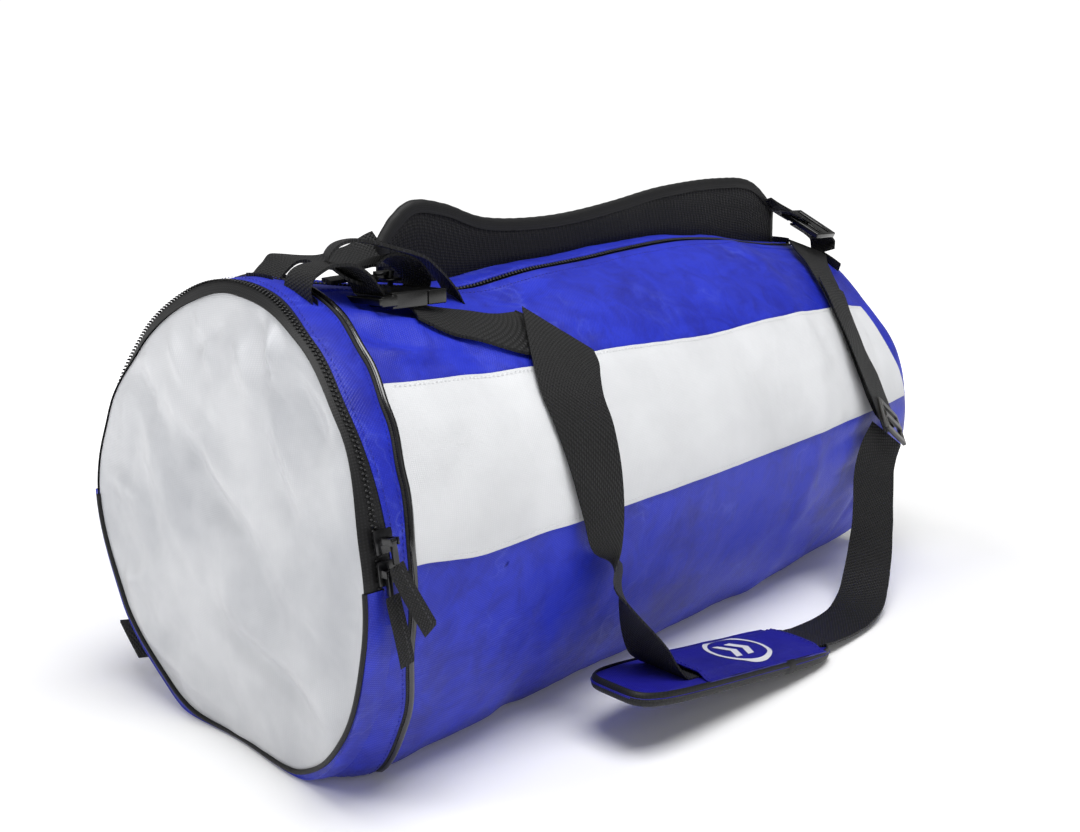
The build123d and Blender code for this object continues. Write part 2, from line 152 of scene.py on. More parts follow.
# Coated Oxford nylon: fine plain weave, mottled dye, pale marks where the coating has been creased.
def nylon(name, deep, mid, pale):
    mat, tree, shader = start(name, 0.46, Sheen_Weight=0.08, Sheen_Roughness=0.35, Specular_IOR_Level=0.4)
    uv = uv_coord(tree)
    place = object_coord(tree)
    weave = threads(tree, uv, 0.0012, 0.0012, 0.6)
    cloud = noise_fac(tree, place, 9.0, 4.0)
    crease = add(tree, "ShaderNodeTexVoronoi", {"Vector": add(tree, "ShaderNodeVectorMath", {
        0: place, 1: add(tree, "ShaderNodeTexNoise", {"Vector": place, "Scale": 22.0, "Detail": 3.0}).outputs["Color"]},
        operation="MULTIPLY_ADD").outputs[0], "Scale": 19.0}, feature="DISTANCE_TO_EDGE")
    line = ramp(tree, crease.outputs["Distance"], [(0.0, 0.8), (0.03, 0.3), (0.09, 0.0)])
    worn = noise_fac(tree, place, 14.0, 2.0)
    marks = add(tree, "ShaderNodeMath", {0: line, 1: ramp(tree, worn, [(0.5, 0.0), (0.72, 1.0)])},
                operation="MULTIPLY").outputs[0]
    mottle = noise_fac(tree, place, 42.0, 5.0, 0.65, 0.8)
    tone = add(tree, "ShaderNodeMath", {0: cloud, 1: mottle}, operation="ADD").outputs[0]
    tone = add(tree, "ShaderNodeMath", {0: tone, 1: 0.5}, operation="MULTIPLY").outputs[0]
    base = ramp(tree, tone, [(0.36, tint(deep)), (0.56, tint(mid))])
    lit = add(tree, "ShaderNodeMix", {0: add(tree, "ShaderNodeMath", {0: marks, 1: 0.30},
                                             operation="MULTIPLY").outputs[0],
                                      6: base, 7: tint(pale)}, data_type="RGBA").outputs[2]
    grain = add(tree, "ShaderNodeMix", {0: ramp(tree, weave, [(0.0, 0.34), (0.5, 0.0)]), 6: lit, 7: tint(deep)},
                data_type="RGBA").outputs[2]
    paint(tree, shader, grain)
    ripple = noise_fac(tree, place, 55.0, 3.0, 0.6, 0.6)
    bumps(tree, shader, [(weave, 0.35, 0.0004), (marks, 0.25, 0.0008), (ripple, 0.30, 0.0018)])
    return mat


# Satin-faced polyester: close weave, long soft highlights.
def satin(name, low, high, rough, sheen, weave_strength):
    mat, tree, shader = start(name, rough, Sheen_Weight=sheen, Sheen_Roughness=0.35, Specular_IOR_Level=0.5)
    uv = uv_coord(tree)
    place = object_coord(tree)
    weave = threads(tree, uv, 0.0015, 0.0011)
    cloud = noise_fac(tree, place, 11.0, 4.0)
    base = ramp(tree, cloud, [(0.32, tint(low)), (0.62, tint(high))])
    grain = add(tree, "ShaderNodeMix", {0: ramp(tree, weave, [(0.0, weave_strength), (0.6, 0.0)]), 6: base,
                                        7: tint("#A9ACB2")}, data_type="RGBA").outputs[2]
    paint(tree, shader, grain)
    ripple = noise_fac(tree, place, 34.0, 3.0, 0.55, 0.5)
    bumps(tree, shader, [(weave, 0.25, 0.0003), (ripple, 0.35, 0.0020)])
    return mat


# Polypropylene webbing: coarse rows of yarn, bumped, with a painted highlight along them as small slanted dashes in the
# base colour.
def webbing_material(name, dark, light, pitch=0.0026, strength=0.9):
    mat, tree, shader = start(name, 0.6, Sheen_Weight=0.04, Specular_IOR_Level=0.35)
    uv = uv_coord(tree)
    rows = threads(tree, uv, pitch, pitch * 0.8, 0.55)
    ribs = threads(tree, uv, pitch * 0.6, 0.4, 0.0)
    fuzz = noise_fac(tree, uv, 900.0, 2.0)
    level = add(tree, "ShaderNodeMath", {0: rows, 1: fuzz}, operation="MULTIPLY").outputs[0]
    # The ramp's lighter colour is a painted highlight on the yarn rows, not a dye.
    paint(tree, shader, ramp(tree, level, [(0.12, tint(dark)), (0.62, tint(light))]))
    bumps(tree, shader, [(rows, strength, 0.0009), (ribs, 0.25, 0.0004), (fuzz, 0.15, 0.0003)])
    return mat


# Spacer mesh: slanted ribs with rows of holes.
def mesh_material():
    mat, tree, shader = start("spacer_mesh_polyester", 0.75, Sheen_Weight=0.05, Specular_IOR_Level=0.3)
    uv = uv_coord(tree)
    ribs = threads(tree, uv, 0.0046, 0.6, 0.12)
    holes = threads(tree, uv, 0.0023, 0.0023, 0.12)
    level = add(tree, "ShaderNodeMath", {0: ribs, 1: holes}, operation="ADD").outputs[0]
    paint(tree, shader, ramp(tree, level, [(0.15, tint("#020203")), (1.0, tint("#161618"))]))
    bumps(tree, shader, [(ribs, 0.9, 0.0016), (holes, 0.6, 0.0007)])
    return mat


# Grosgrain binding and zip tape: fine cross ribs.
def ribbed_tape(name, dark, light, pitch=0.0014, rough=0.55):
    mat, tree, shader = start(name, rough, Sheen_Weight=0.04, Specular_IOR_Level=0.35)
    uv = uv_coord(tree)
    ribs = threads(tree, uv, pitch, 0.5)
    fine = threads(tree, uv, pitch, pitch)
    paint(tree, shader, ramp(tree, fine, [(0.1, tint(dark)), (0.8, tint(light))]))
    bumps(tree, shader, [(ribs, 0.5, 0.0005), (fine, 0.3, 0.0003)])
    return mat


# Injection-moulded acetal: satin, with a faint eggshell from the tool.
def moulded(name, dark, light, rough):
    mat, tree, shader = start(name, rough, Specular_IOR_Level=0.5)
    place = object_coord(tree)
    cloud = noise_fac(tree, place, 60.0, 3.0)
    pits = noise_fac(tree, place, 900.0, 2.0)
    paint(tree, shader, ramp(tree, cloud, [(0.35, tint(dark)), (0.7, tint(light))]))
    bumps(tree, shader, [(pits, 0.12, 0.0002)])
    return mat


# Lacquered zinc die-casting: the black coat is glossy and worn a little at the edges.
def lacquered(name):
    mat, tree, shader = start(name, 0.28, Metallic=0.6, Coat_Weight=0.5, Coat_Roughness=0.15)
    place = object_coord(tree)
    cloud = noise_fac(tree, place, 120.0, 3.0)
    paint(tree, shader, ramp(tree, cloud, [(0.4, tint("#0B0B0C")), (0.75, tint("#26262A"))]))
    bumps(tree, shader, [(noise_fac(tree, place, 700.0, 2.0), 0.08, 0.0002)])
    return mat


# Extruded vinyl piping: smooth and shiny, with slight lumps where the stitches pull it.
def vinyl(name):
    mat, tree, shader = start(name, 0.22, Specular_IOR_Level=0.6, Coat_Weight=0.4, Coat_Roughness=0.12)
    place = object_coord(tree)
    cloud = noise_fac(tree, place, 80.0, 2.0)
    paint(tree, shader, ramp(tree, cloud, [(0.35, tint("#060607")), (0.7, tint("#141416"))]))
    bumps(tree, shader, [(noise_fac(tree, place, 160.0, 2.0), 0.25, 0.0006)])
    return mat


BLUE = nylon("coated_oxford_nylon_blue", "#0C1690", "#1C2FC4", "#7484F4")
PAD_BLUE = nylon("coated_oxford_nylon_navy", "#0D0A74", "#15128E", "#3338B4")
# The end panels' greys sit below the stripe's white as painted shade for the lesser light on the ends; the spread
# between the two greys is random tone.
SHADE_GREYED_WHITE_PANEL = satin("satin_polyester_white_painted_shade", "#B4B6BB", "#D4D5D8", 0.30, 0.15, 0.22)
WHITE_STRIPE = satin("brushed_polyester_white", "#D4D5D7", "#E0E1E3", 0.7, 0.1, 0.14)
# Both webbings carry the painted highlight on their yarn rows.
WEBBING = webbing_material("polypropylene_webbing_black", "#020203", "#18181B")
PULL_TAPE = webbing_material("nylon_pull_tape_black", "#030304", "#1C1C1F", 0.0018, 0.6)
MESH = mesh_material()
BINDING = ribbed_tape("grosgrain_binding_black", "#030304", "#131315")
ZIP_TAPE = ribbed_tape("knitted_zip_tape_black", "#030304", "#151517", 0.0018)
COIL = moulded("nylon_zip_coil_black", "#040405", "#101012", 0.45)
PLASTIC = moulded("acetal_buckle_black", "#040404", "#0C0C0B", 0.24)
GLIDE_PLASTIC = moulded("acetal_glide_charcoal", "#161513", "#2C2A27", 0.32)
METAL = lacquered("lacquered_zinc_black")
PIPING = vinyl("vinyl_piping_black")
LINING = ribbed_tape("pocket_lining_taffeta", "#15171E", "#2A2D38", 0.0012)
BOARD = moulded("polyethylene_base_board", "#1B1B1D", "#2A2A2D", 0.6)
THREAD_DARK = moulded("sewing_thread_navy", "#11147E", "#1B20A0", 0.6)
THREAD_BLACK = moulded("sewing_thread_black", "#1A1A1C", "#3A3A3E", 0.6)
THREAD_WHITE = moulded("sewing_thread_white", "#C9CACD", "#E2E2E4", 0.6)
FOAM_BACK = ribbed_tape("pad_backing_polyester", "#0A0A0C", "#202024", 0.0016)


# ---------------------------------------------------------------- the barrel's surface
def hump(t, centre, width):
    return math.exp(-((t - centre) / width) ** 2)


def ease(t, low, high):
    s = min(1.0, max(0.0, (t - low) / (high - low)))
    return s * s * (3 - 2 * s)


def wrapped(angle):
    return (angle + 180.0) % 360.0 - 180.0


def traced(stops):
    """A smooth closed curve through (degrees, mm) stops round the end."""
    keys = sorted(stops)
    keys = [(keys[-1][0] - 360, keys[-1][1])] + keys + [(keys[0][0] + 360, keys[0][1])]

    def at(angle):
        w = wrapped(angle)
        for (a0, v0), (a1, v1) in zip(keys, keys[1:]):
            if a0 <= w <= a1:
                return v0 + (v1 - v0) * ease(w, a0, a1)
        return keys[-1][1]
    return at


# The near end isn't cut square: these are the places of its rim, its zip's outer edge and its seam along the barrel.
rim_x = traced(((-150, -330), (-122, -324), (-92, -319), (-66, -323), (-38, -330), (-12, -334), (10, -335), (36, -326),
                (58, -320), (80, -317), (104, -319), (130, -324), (156, -329), (180, -333)))
zip_x = traced(((-150, -312), (-92, -306), (-38, -312), (2, -315), (20, -315), (38, -315), (56, -310), (76, -303),
                (104, -302), (130, -307), (156, -311), (180, -315)))
seam_x = traced(((-150, -290), (-92, -284), (-60, -285), (-36, -290), (-12, -301), (6, -301), (22, -297), (36, -291),
                 (50, -285), (66, -279), (84, -280), (110, -283), (150, -288), (180, -291)))


def swell(x, angle):
    """How far the stuffed barrel stands out from its end rings, mm."""
    w = wrapped(angle)
    free = ease(x, SEAM_X - 4, SEAM_X + 70)
    top = 16 * hump(x, 120, 130) * hump(w, 90, 37) * free
    top += 6.0 * hump(w, 88, 30) * (1 - ease(x, SEAM_X, SEAM_X + 60))
    dip = -9 * hump(x, -143, 50) * hump(w, 84, 26)
    seat = 0.35 + 0.65 * ease(x, NEAR_X, SEAM_X)
    far = 1 - 0.35 * ease(x, 100, FAR_X)
    front_low = 18 * hump(w, -58, 24) * seat * far
    back_low = 15 * hump(w, -122, 24) * seat * far
    dent = -9.0 * hump(w, 44, 19) * ease(x, 235, FAR_X) - 2.5 * hump(w, 8, 16) * ease(x, 270, FAR_X)
    return top + dip + front_low + back_low + dent


# Creases: start (x, degrees), end (x, degrees), half width, height.
CREASES = [
    ((-284, 58), (-205, 48), 7, -3.2), ((-284, 52), (-180, 43), 6, 2.6), ((-270, 64), (-190, 56), 8, 3.0),
    ((-246, 47), (-176, 44), 5, -2.4), ((-232, 52), (-168, 50), 6, 2.2), ((-214, 58), (-150, 60), 7, -2.4),
    ((-284, 74), (-220, 62), 9, -2.6), ((-160, 66), (-60, 74), 12, -2.0), ((-120, 60), (-20, 50), 16, 1.4),
    ((170, -4), (285, 1), 8, -3.0), ((190, -12), (290, -3), 7, 2.4), ((150, -16), (262, -10), 9, -2.6),
    ((205, -24), (275, -12), 9, 2.0), ((240, -36), (262, -8), 8, -2.4), ((120, -30), (240, -22), 12, -1.6),
    ((-276, 20), (-262, -30), 10, -1.8), ((-230, -8), (-150, -34), 14, 1.6), ((-100, -12), (40, -22), 16, -1.5),
    ((-262, 36), (-250, 4), 8, 1.1), ((-40, 36), (-20, 6), 12, 0.9), ((60, 38), (84, 6), 12, -1.0),
    ((180, 38), (196, 8), 8, -1.4), ((228, 36), (236, 10), 7, 1.2), ((268, 38), (262, 8), 8, -1.2),
    ((20, 66), (120, 58), 14, -1.2), ((130, 72), (250, 60), 12, 1.2), ((-60, 130), (60, 150), 18, -2.0),
    ((80, 200), (220, 175), 16, 2.0), ((-240, 160), (-140, 190), 14, -2.2), ((-200, 215), (-60, 205), 18, 1.8),
]


def crumple(x, angle):
    """Creases and soft unevenness of cloth over a loose filling, mm."""
    w = wrapped(angle)
    s = BARREL_R * math.radians(w)
    total = 0.0
    for (x0, a0), (x1, a1), half, high in CREASES:
        s0 = BARREL_R * math.radians(wrapped(a0))
        s1 = BARREL_R * math.radians(wrapped(a1))
        dx, ds = x1 - x0, s1 - s0
        along = ((x - x0) * dx + (s - s0) * ds) / (dx * dx + ds * ds)
        if -0.35 < along < 1.35:
            away = ((x - x0) * ds - (s - s0) * dx) / math.hypot(dx, ds)
            if abs(away) < 3 * half:
                fade = ease(along, -0.35, 0.2) * (1 - ease(along, 0.7, 1.35))
                total += high * fade * hump(away, 0, half)
    spot = Vector((x / 62, s / 48, 3.7))
    total += 1.5 * noise.noise(spot) + 0.6 * noise.noise(spot * 2.9) + 0.22 * noise.noise(spot * 7.3)
    hold = ease(x, SEAM_X, SEAM_X + 26) * (1 - 0.6 * ease(x, FAR_X - 40, FAR_X))
    pinned = 1 - 0.8 * hump(w, ZIP_ANGLE, 4)
    return total * (0.25 + 0.75 * hold) * pinned


def far_round(x):
    """The plain end turns in over its last few centimetres."""
    t = min(1.0, max(0.0, (x - FAR_X + 16) / 16))
    return -9.0 * (1 - math.sqrt(1 - 0.92 * t * t))


def skin(x, angle, out=0.0):
    """A point on the cloth, `out` mm proud of it."""
    r = BARREL_R + swell(x, angle) + crumple(x, angle) + far_round(x) + out
    a = math.radians(angle)
    y, z = -r * math.cos(a), CENTRE_Z + r * math.sin(a)
    floor = 0.2 + max(0.0, out)
    if z < floor + 6:
        z = floor + 6 * math.exp((z - floor - 6) / 6.0) if z > floor - 30 else floor
        z = max(floor, z)
    return Vector((x, y, z))


def outward(angle):
    a = math.radians(angle)
    return Vector((0, -math.cos(a), math.sin(a)))


def stripe_low(x):
    return 1.3 + 5.2 * ((x + 150) / 470) ** 2 * (x > -150) + 2.6 * hump(x, -300, 30)


def stripe_high(x):
    return 42.1 - 1.3 * hump(x, -165, 40) - 1.6 * hump(x, 20, 70) + 1.0 * hump(x, -290, 22)


# ---------------------------------------------------------------- mesh helpers
def to_object(name, bm, mat, sharp=40.0):
    mesh = bpy.data.meshes.new(name)
    bm.to_mesh(mesh)
    bm.free()
    mesh.polygons.foreach_set("use_smooth", [True] * len(mesh.polygons))
    if sharp:
        mesh.set_sharp_from_angle(angle=math.radians(sharp))
    mesh.materials.append(mat)
    made = bpy.data.objects.new(name, mesh)
    bpy.context.scene.collection.objects.link(made)
    return made


def cloth(name, mat, place, nu, nv, size, thick=0.0, sharp=40.0):
    """A grid of cloth: place(s, t) gives each point in mm, size the cloth's real lengths for its weave."""
    bm = bmesh.new()
    bmesh.ops.create_grid(bm, x_segments=nu, y_segments=nv, size=0.5)
    uv = bm.loops.layers.uv.new("weave")
    spots = {v: (v.co.x + 0.5, v.co.y + 0.5) for v in bm.verts}
    for face in bm.faces:
        for loop in face.loops:
            s, t = spots[loop.vert]
            loop[uv].uv = (s * size[0] * MM, t * size[1] * MM)
    for v, (s, t) in spots.items():
        v.co = place(min(1, max(0, s)), min(1, max(0, t))) * MM
    if thick:
        bmesh.ops.solidify(bm, geom=bm.faces[:], thickness=thick * MM)
        bmesh.ops.recalc_face_normals(bm, faces=bm.faces[:])
    return to_object(name, bm, mat, sharp)


def spline(points, count):
    """Smooth line through points: uniform Catmull-Rom, evenly resampled. Returns it with its length."""
    pts = [Vector(p) for p in points]
    pts = [pts[0] * 2 - pts[1]] + pts + [pts[-1] * 2 - pts[-2]]
    fine = []
    for i in range(1, len(pts) - 2):
        a, b, c, d = pts[i - 1:i + 3]
        for k in range(16):
            t = k / 16
            fine.append(0.5 * ((2 * b) + (c - a) * t + (2 * a - 5 * b + 4 * c - d) * t * t
                               + (3 * b - a - 3 * c + d) * t ** 3))
    fine.append(pts[-2])
    total = [0.0]
    for a, b in zip(fine, fine[1:]):
        total.append(total[-1] + (b - a).length)
    out = []
    j = 0
    for i in range(count):
        want = total[-1] * i / (count - 1)
        while j < len(total) - 2 and total[j + 1] < want:
            j += 1
        span = max(1e-9, total[j + 1] - total[j])
        out.append(fine[j].lerp(fine[j + 1], min(1, max(0, (want - total[j]) / span))))
    return out, total[-1]


def frames(points, normals, step=4.0):
    """Stations along a strap: centre, direction across it, and its face's normal."""
    _, length = spline(points, 3)
    count = max(6, int(length / step))
    centres, length = spline(points, count)
    dense = [Vector(n).normalized() for n in normals]
    marks = [0.0]
    pts = [Vector(p) for p in points]
    for a, b in zip(pts, pts[1:]):
        marks.append(marks[-1] + (b - a).length)
    stations = []
    for i, c in enumerate(centres):
        want = marks[-1] * i / (count - 1)
        k = 0
        while k < len(marks) - 2 and marks[k + 1] < want:
            k += 1
        t = min(1, max(0, (want - marks[k]) / (marks[k + 1] - marks[k])))
        n = dense[k].lerp(dense[k + 1], t * t * (3 - 2 * t))
        way = (centres[min(i + 1, count - 1)] - centres[max(i - 1, 0)]).normalized()
        n = (n - way * n.dot(way)).normalized()
        stations.append((c, way.cross(n).normalized(), n))
    return stations, length


def strap(name, mat, points, normals, wide=WEB_W, thick=WEB_T, step=4.0, cup=0.4, ends=None):
    """Flat webbing along a line. cup bows it across; ends trims the two ends to a slant (mm)."""
    stations, length = frames(points, normals, step)
    last = len(stations) - 1

    def place(s, t):
        q = s * last
        i = min(last - 1, int(q))
        f = q - i
        c = stations[i][0].lerp(stations[i + 1][0], f)
        across = stations[i][1].lerp(stations[i + 1][1], f).normalized()
        n = stations[i][2].lerp(stations[i + 1][2], f).normalized()
        off = (t - 0.5) * wide
        slant = 0.0
        if ends:
            way = across.cross(n)
            slant = ends[0] * (1 - s) ** 6 * (t - 0.5) + ends[1] * s ** 6 * (t - 0.5)
            c = c - way * slant
        wave = 0.5 * noise.noise(Vector((s * length / 40, t * 1.4, len(name))))
        return c + across * off + n * (wave + cup * (0.25 - (t - 0.5) ** 2) - thick / 2)
    return cloth(name, mat, place, last, 10, (length, wide), thick, sharp=35)


def ribbon(name, mat, lefts, rights, thick=WEB_T, step=4.0, cup=0.5):
    """Webbing between two edge lines, for a strap that twists or folds."""
    _, length = spline([(Vector(a) + Vector(b)) / 2 for a, b in zip(lefts, rights)], 3)
    count = max(6, int(length / step))
    left = even_spline(lefts, count)
    right = even_spline(rights, count)
    wide = (Vector(lefts[0]) - Vector(rights[0])).length

    def place(s, t):
        q = s * (count - 1)
        i = min(count - 2, int(q))
        a, b = left[i].lerp(left[i + 1], q - i), right[i].lerp(right[i + 1], q - i)
        way = (left[i + 1] + right[i + 1] - left[i] - right[i]).normalized()
        n = way.cross((b - a).normalized()).normalized()
        wave = 0.4 * noise.noise(Vector((s * length / 40, t * 1.4, len(name))))
        return a.lerp(b, t) + n * (wave + cup * (0.25 - (t - 0.5) ** 2))
    return cloth(name, mat, place, count - 1, 10, (length, wide), thick, sharp=35)


def split(path):
    """Points and face normals, from (point, normal) pairs."""
    return [Vector(p) for p, n in path], [Vector(n) for p, n in path]


def even_spline(points, count):
    """Like spline, but each given point keeps its own share of the way, so that two edges stay paired."""
    pts = [Vector(p) for p in points]
    pts = [pts[0] * 2 - pts[1]] + pts + [pts[-1] * 2 - pts[-2]]
    out = []
    for k in range(count):
        q = (len(points) - 1) * k / (count - 1)
        i = min(len(points) - 2, int(q))
        t = q - i
        a, b, c, d = pts[i:i + 4]
        out.append(0.5 * ((2 * b) + (c - a) * t + (2 * a - 5 * b + 4 * c - d) * t * t
                          + (3 * b - a - 3 * c + d) * t ** 3))
    return out


def tube(name, mat, points, radius, closed=False):
    """Round piping along a smooth line, ends closed."""
    curve = bpy.data.curves.new(name, "CURVE")
    curve.dimensions = "3D"
    curve.bevel_depth = radius * MM
    curve.bevel_resolution = 2
    curve.use_fill_caps = True
    line = curve.splines.new("POLY")
    line.points.add(len(points) - 1)
    for p, q in zip(line.points, points):
        p.co = (*(Vector(q) * MM), 1)
    line.use_cyclic_u = closed
    shape = bpy.data.objects.new(name, curve)
    mesh = bpy.data.meshes.new_from_object(shape)
    bpy.data.objects.remove(shape)
    bpy.data.curves.remove(curve)
    mesh.name = name
    mesh.polygons.foreach_set("use_smooth", [True] * len(mesh.polygons))
    mesh.materials.clear()
    mesh.materials.append(mat)
    made = bpy.data.objects.new(name, mesh)
    bpy.context.scene.collection.objects.link(made)
    return made


def bead_row(name, mat, spots, length, wide, high):
    """Many small rounded beads, such as stitches or zip elements: spots are (centre, along, up)."""
    bm = bmesh.new()
    for centre, along, up in spots:
        side = along.cross(up).normalized()
        up = side.cross(along).normalized()
        turn = Matrix((along * length, side * wide, up * high)).transposed().to_4x4()
        bmesh.ops.create_uvsphere(bm, u_segments=6, v_segments=4, radius=0.5 * MM,
                                  matrix=Matrix.Translation(centre * MM) @ turn)
    return to_object(name, bm, mat, 0)


def stitch_line(name, mat, place, length, pitch=3.6, long=2.5, thick=0.75, out=0.3):
    """Stitches along place(s), which gives a point and the face's normal."""
    count = int(length / pitch)
    spots = []
    for i in range(count):
        s = (i + 0.5) / count
        p, n = place(s)
        q, _ = place(min(1, s + 0.3 / count))
        way = (q - p).normalized() if (q - p).length > 1e-6 else Vector((1, 0, 0))
        spots.append((p + n * out, way, n))
    return bead_row(name, mat, spots, long, thick, thick)


def finish(piece, body, slot, *nodes):
    if isinstance(body, str):
        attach(piece, body)
    else:
        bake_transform(piece)
    if nodes:
        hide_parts(*nodes)
    return piece


# ---------------------------------------------------------------- barrel panels
def span(low, high, t):
    return low + (high - low) * t


def barrel_shell():
    low, cells = ZIP_ANGLE + CLOTH_IN, 4.2

    def place(s, t):
        angle = span(low, 400, t)
        x = span(seam_x(angle), FAR_X, s)
        return skin(x, span(low, 360 + stripe_high(x) - 1.0, t))
    arc = BARREL_R * math.radians(318)
    piece = cloth("barrel_shell", BLUE, place, int(610 / cells), int(arc / cells), (610, arc), CLOTH_T)
    return finish(piece, "bag", "blue_nylon", "body_panel", "back_top_panel")


def stripe_end(angle):
    """Where the stripe stops: slanted where the end panel's seam takes it in."""
    return 291 + 13 * ease(34 - angle, 0, 26) + 6 * ease(26 - angle, 0, 22)


def white_stripe():
    def place(s, t):
        x = SEAM_X + 0.5
        for _ in range(3):
            angle = span(stripe_low(x), stripe_high(x), t)
            x = span(seam_x(angle) + 0.5, stripe_end(angle), s)
        angle = span(stripe_low(x), stripe_high(x), t)
        hem = 0.5 * (hump(t, 0, 0.05) + hump(t, 1, 0.05))
        return skin(x, angle, 1.1 + 0.5 * (1 - hem))
    piece = cloth("front_stripe_cloth", WHITE_STRIPE, place, 168, 34, (600, 104), 0.7)
    return finish(piece, "bag", "white_cloth", "front_stripe")


def top_panel(name, x0, x1, body, *nodes):
    """The blue cloth between the stripe and the zip."""
    def place(s, t):
        near = seam_x(span(42, ZIP_ANGLE, t)) if x0 < -200 else x0
        x = span(near, x1, s)
        return skin(x, span(stripe_high(x) - 1.0, ZIP_ANGLE - CLOTH_IN, t))
    arc = BARREL_R * math.radians(40)
    piece = cloth(name, BLUE, place, int((x1 - x0) / 3.6), 30, (x1 - x0, arc), CLOTH_T)
    return finish(piece, body, "blue_nylon", *nodes)


NEAR_BLEND = ("bag", "mouth", (-0.104, 0, 0), (-0.012, 0, 0))
FAR_BLEND = ("bag", "mouth", (0.207, 0, 0), (0.112, 0, 0))
MIDDLE_X = 50.0

barrel_shell()
white_stripe()
top_panel("top_panel_front_a", SEAM_X, MIDDLE_X, NEAR_BLEND, "near_top_panel", "mouth_lip")
top_panel("top_panel_front_b", MIDDLE_X, FAR_X, FAR_BLEND, "far_top_panel")


def row_on_skin(name, mat, angle_of, x0, x1, body, out=0.35, pitch=3.6, thick=0.8, long=2.5):
    def place(s):
        x = span(x0, x1, s)
        a = angle_of(x)
        return skin(x, a, out), outward(a)
    piece = stitch_line(name, mat, place, x1 - x0, pitch, long, thick)
    return finish(piece, body, "blue_nylon")


# Stitch rows: along the stripe and the zip's two cloth edges.
row_on_skin("stripe_stitches_low", THREAD_WHITE, lambda x: stripe_low(x) + 0.9, SEAM_X + 4, 312, "bag", 1.9, 3.4,
            0.55, 2.2)
row_on_skin("stripe_stitches_high", THREAD_WHITE, lambda x: stripe_high(x) - 0.9, SEAM_X + 4, 287, "bag", 1.9, 3.4,
            0.55, 2.2)
row_on_skin("zip_stitches_back", THREAD_DARK, lambda x: ZIP_ANGLE + 3.2, SEAM_X + 6, 318, "bag")
row_on_skin("zip_stitches_front_a", THREAD_DARK, lambda x: ZIP_ANGLE - 6.0, SEAM_X + 6, MIDDLE_X, NEAR_BLEND)
row_on_skin("zip_stitches_front_b", THREAD_DARK, lambda x: ZIP_ANGLE - 6.0, MIDDLE_X, 318, FAR_BLEND)


def zip_edge(name, low, high, x0, x1, body, *nodes):
    """The cloth's folded edge along the zip: a doubled band that stands a little proud."""
    def place(s, t):
        x = span(x0, x1, s)
        rise = 1.2 * math.sin(math.pi * t) ** 0.35 if 0 < t < 1 else 0.0
        return skin(x, span(low, high, t), rise - 0.3)
    wide = BARREL_R * math.radians(abs(high - low))
    piece = cloth(name, BLUE, place, int((x1 - x0) / 4), 8, (x1 - x0, wide), 0.5)
    return finish(piece, body, "blue_nylon", *nodes)


zip_edge("zip_fold_back", ZIP_ANGLE + FOLD_IN, ZIP_ANGLE + FOLD_BACK, SEAM_X + 2, 322, "bag", "zip_cover_back")
zip_edge("zip_fold_front_a", ZIP_ANGLE - FOLD_FRONT, ZIP_ANGLE - FOLD_IN, SEAM_X + 2, MIDDLE_X, NEAR_BLEND,
         "mouth_lip_zip_cover")
zip_edge("zip_fold_front_b", ZIP_ANGLE - FOLD_FRONT, ZIP_ANGLE - FOLD_IN, MIDDLE_X, 322, FAR_BLEND)


def barrel_tape(name, low, high, x0, x1, body, *nodes):
    def place(s, t):
        x = span(x0, x1, s)
        return skin(x, span(low, high, t), -1.2)
    piece = cloth(name, ZIP_TAPE, place, int((x1 - x0) / 4), 4, (x1 - x0, 8), 0.6)
    return finish(piece, body, "zip_tape", *nodes)


barrel_tape("zip_tape_back", ZIP_ANGLE + TAPE_IN, ZIP_ANGLE + TAPE_OUT, SEAM_X + 3, 320, "bag", "main_zip_tape_fixed")
barrel_tape("zip_tape_front_a", ZIP_ANGLE - TAPE_OUT, ZIP_ANGLE - TAPE_IN, SEAM_X + 3, MIDDLE_X, NEAR_BLEND,
            "mouth_lip_zip_tape")
barrel_tape("zip_tape_front_b", ZIP_ANGLE - TAPE_OUT, ZIP_ANGLE - TAPE_IN, MIDDLE_X, 320, FAR_BLEND)


def barrel_coil(name, side, x0, x1, body, *nodes):
    """Moulded coil: one bead per turn, the two sides half a pitch apart so that they interlock."""
    pitch = 3.2
    count = int((x1 - x0) / pitch)
    spots = []
    for i in range(count):
        x = x0 + (i + (0.25 if side > 0 else 0.75)) * pitch
        a = ZIP_ANGLE + side * 0.42
        tangent = Vector((0, math.sin(math.radians(a)), math.cos(math.radians(a))))
        spots.append((skin(x, a, 0.2), tangent, outward(a)))
    piece = bead_row(name, COIL, spots, 3.2, 1.9, 1.6)
    return finish(piece, body, "zip_coil", *nodes)


barrel_coil("zip_coil_back", 1, SEAM_X + 6, 316, "bag", "main_zip_coil_fixed")
barrel_coil("zip_coil_front_a", -1, SEAM_X + 6, MIDDLE_X, NEAR_BLEND, "mouth_lip_coil")
barrel_coil("zip_coil_front_b", -1, MIDDLE_X, 316, FAR_BLEND)


# ---------------------------------------------------------------- near end
def ring_spot(x, r, angle, low=0.3):
    a = math.radians(angle)
    z = CENTRE_Z + r * math.sin(a)
    if z < low + 5:
        z = low + 5 * math.exp((z - low - 5) / 5.0)
    return Vector((x, -r * math.cos(a), z))


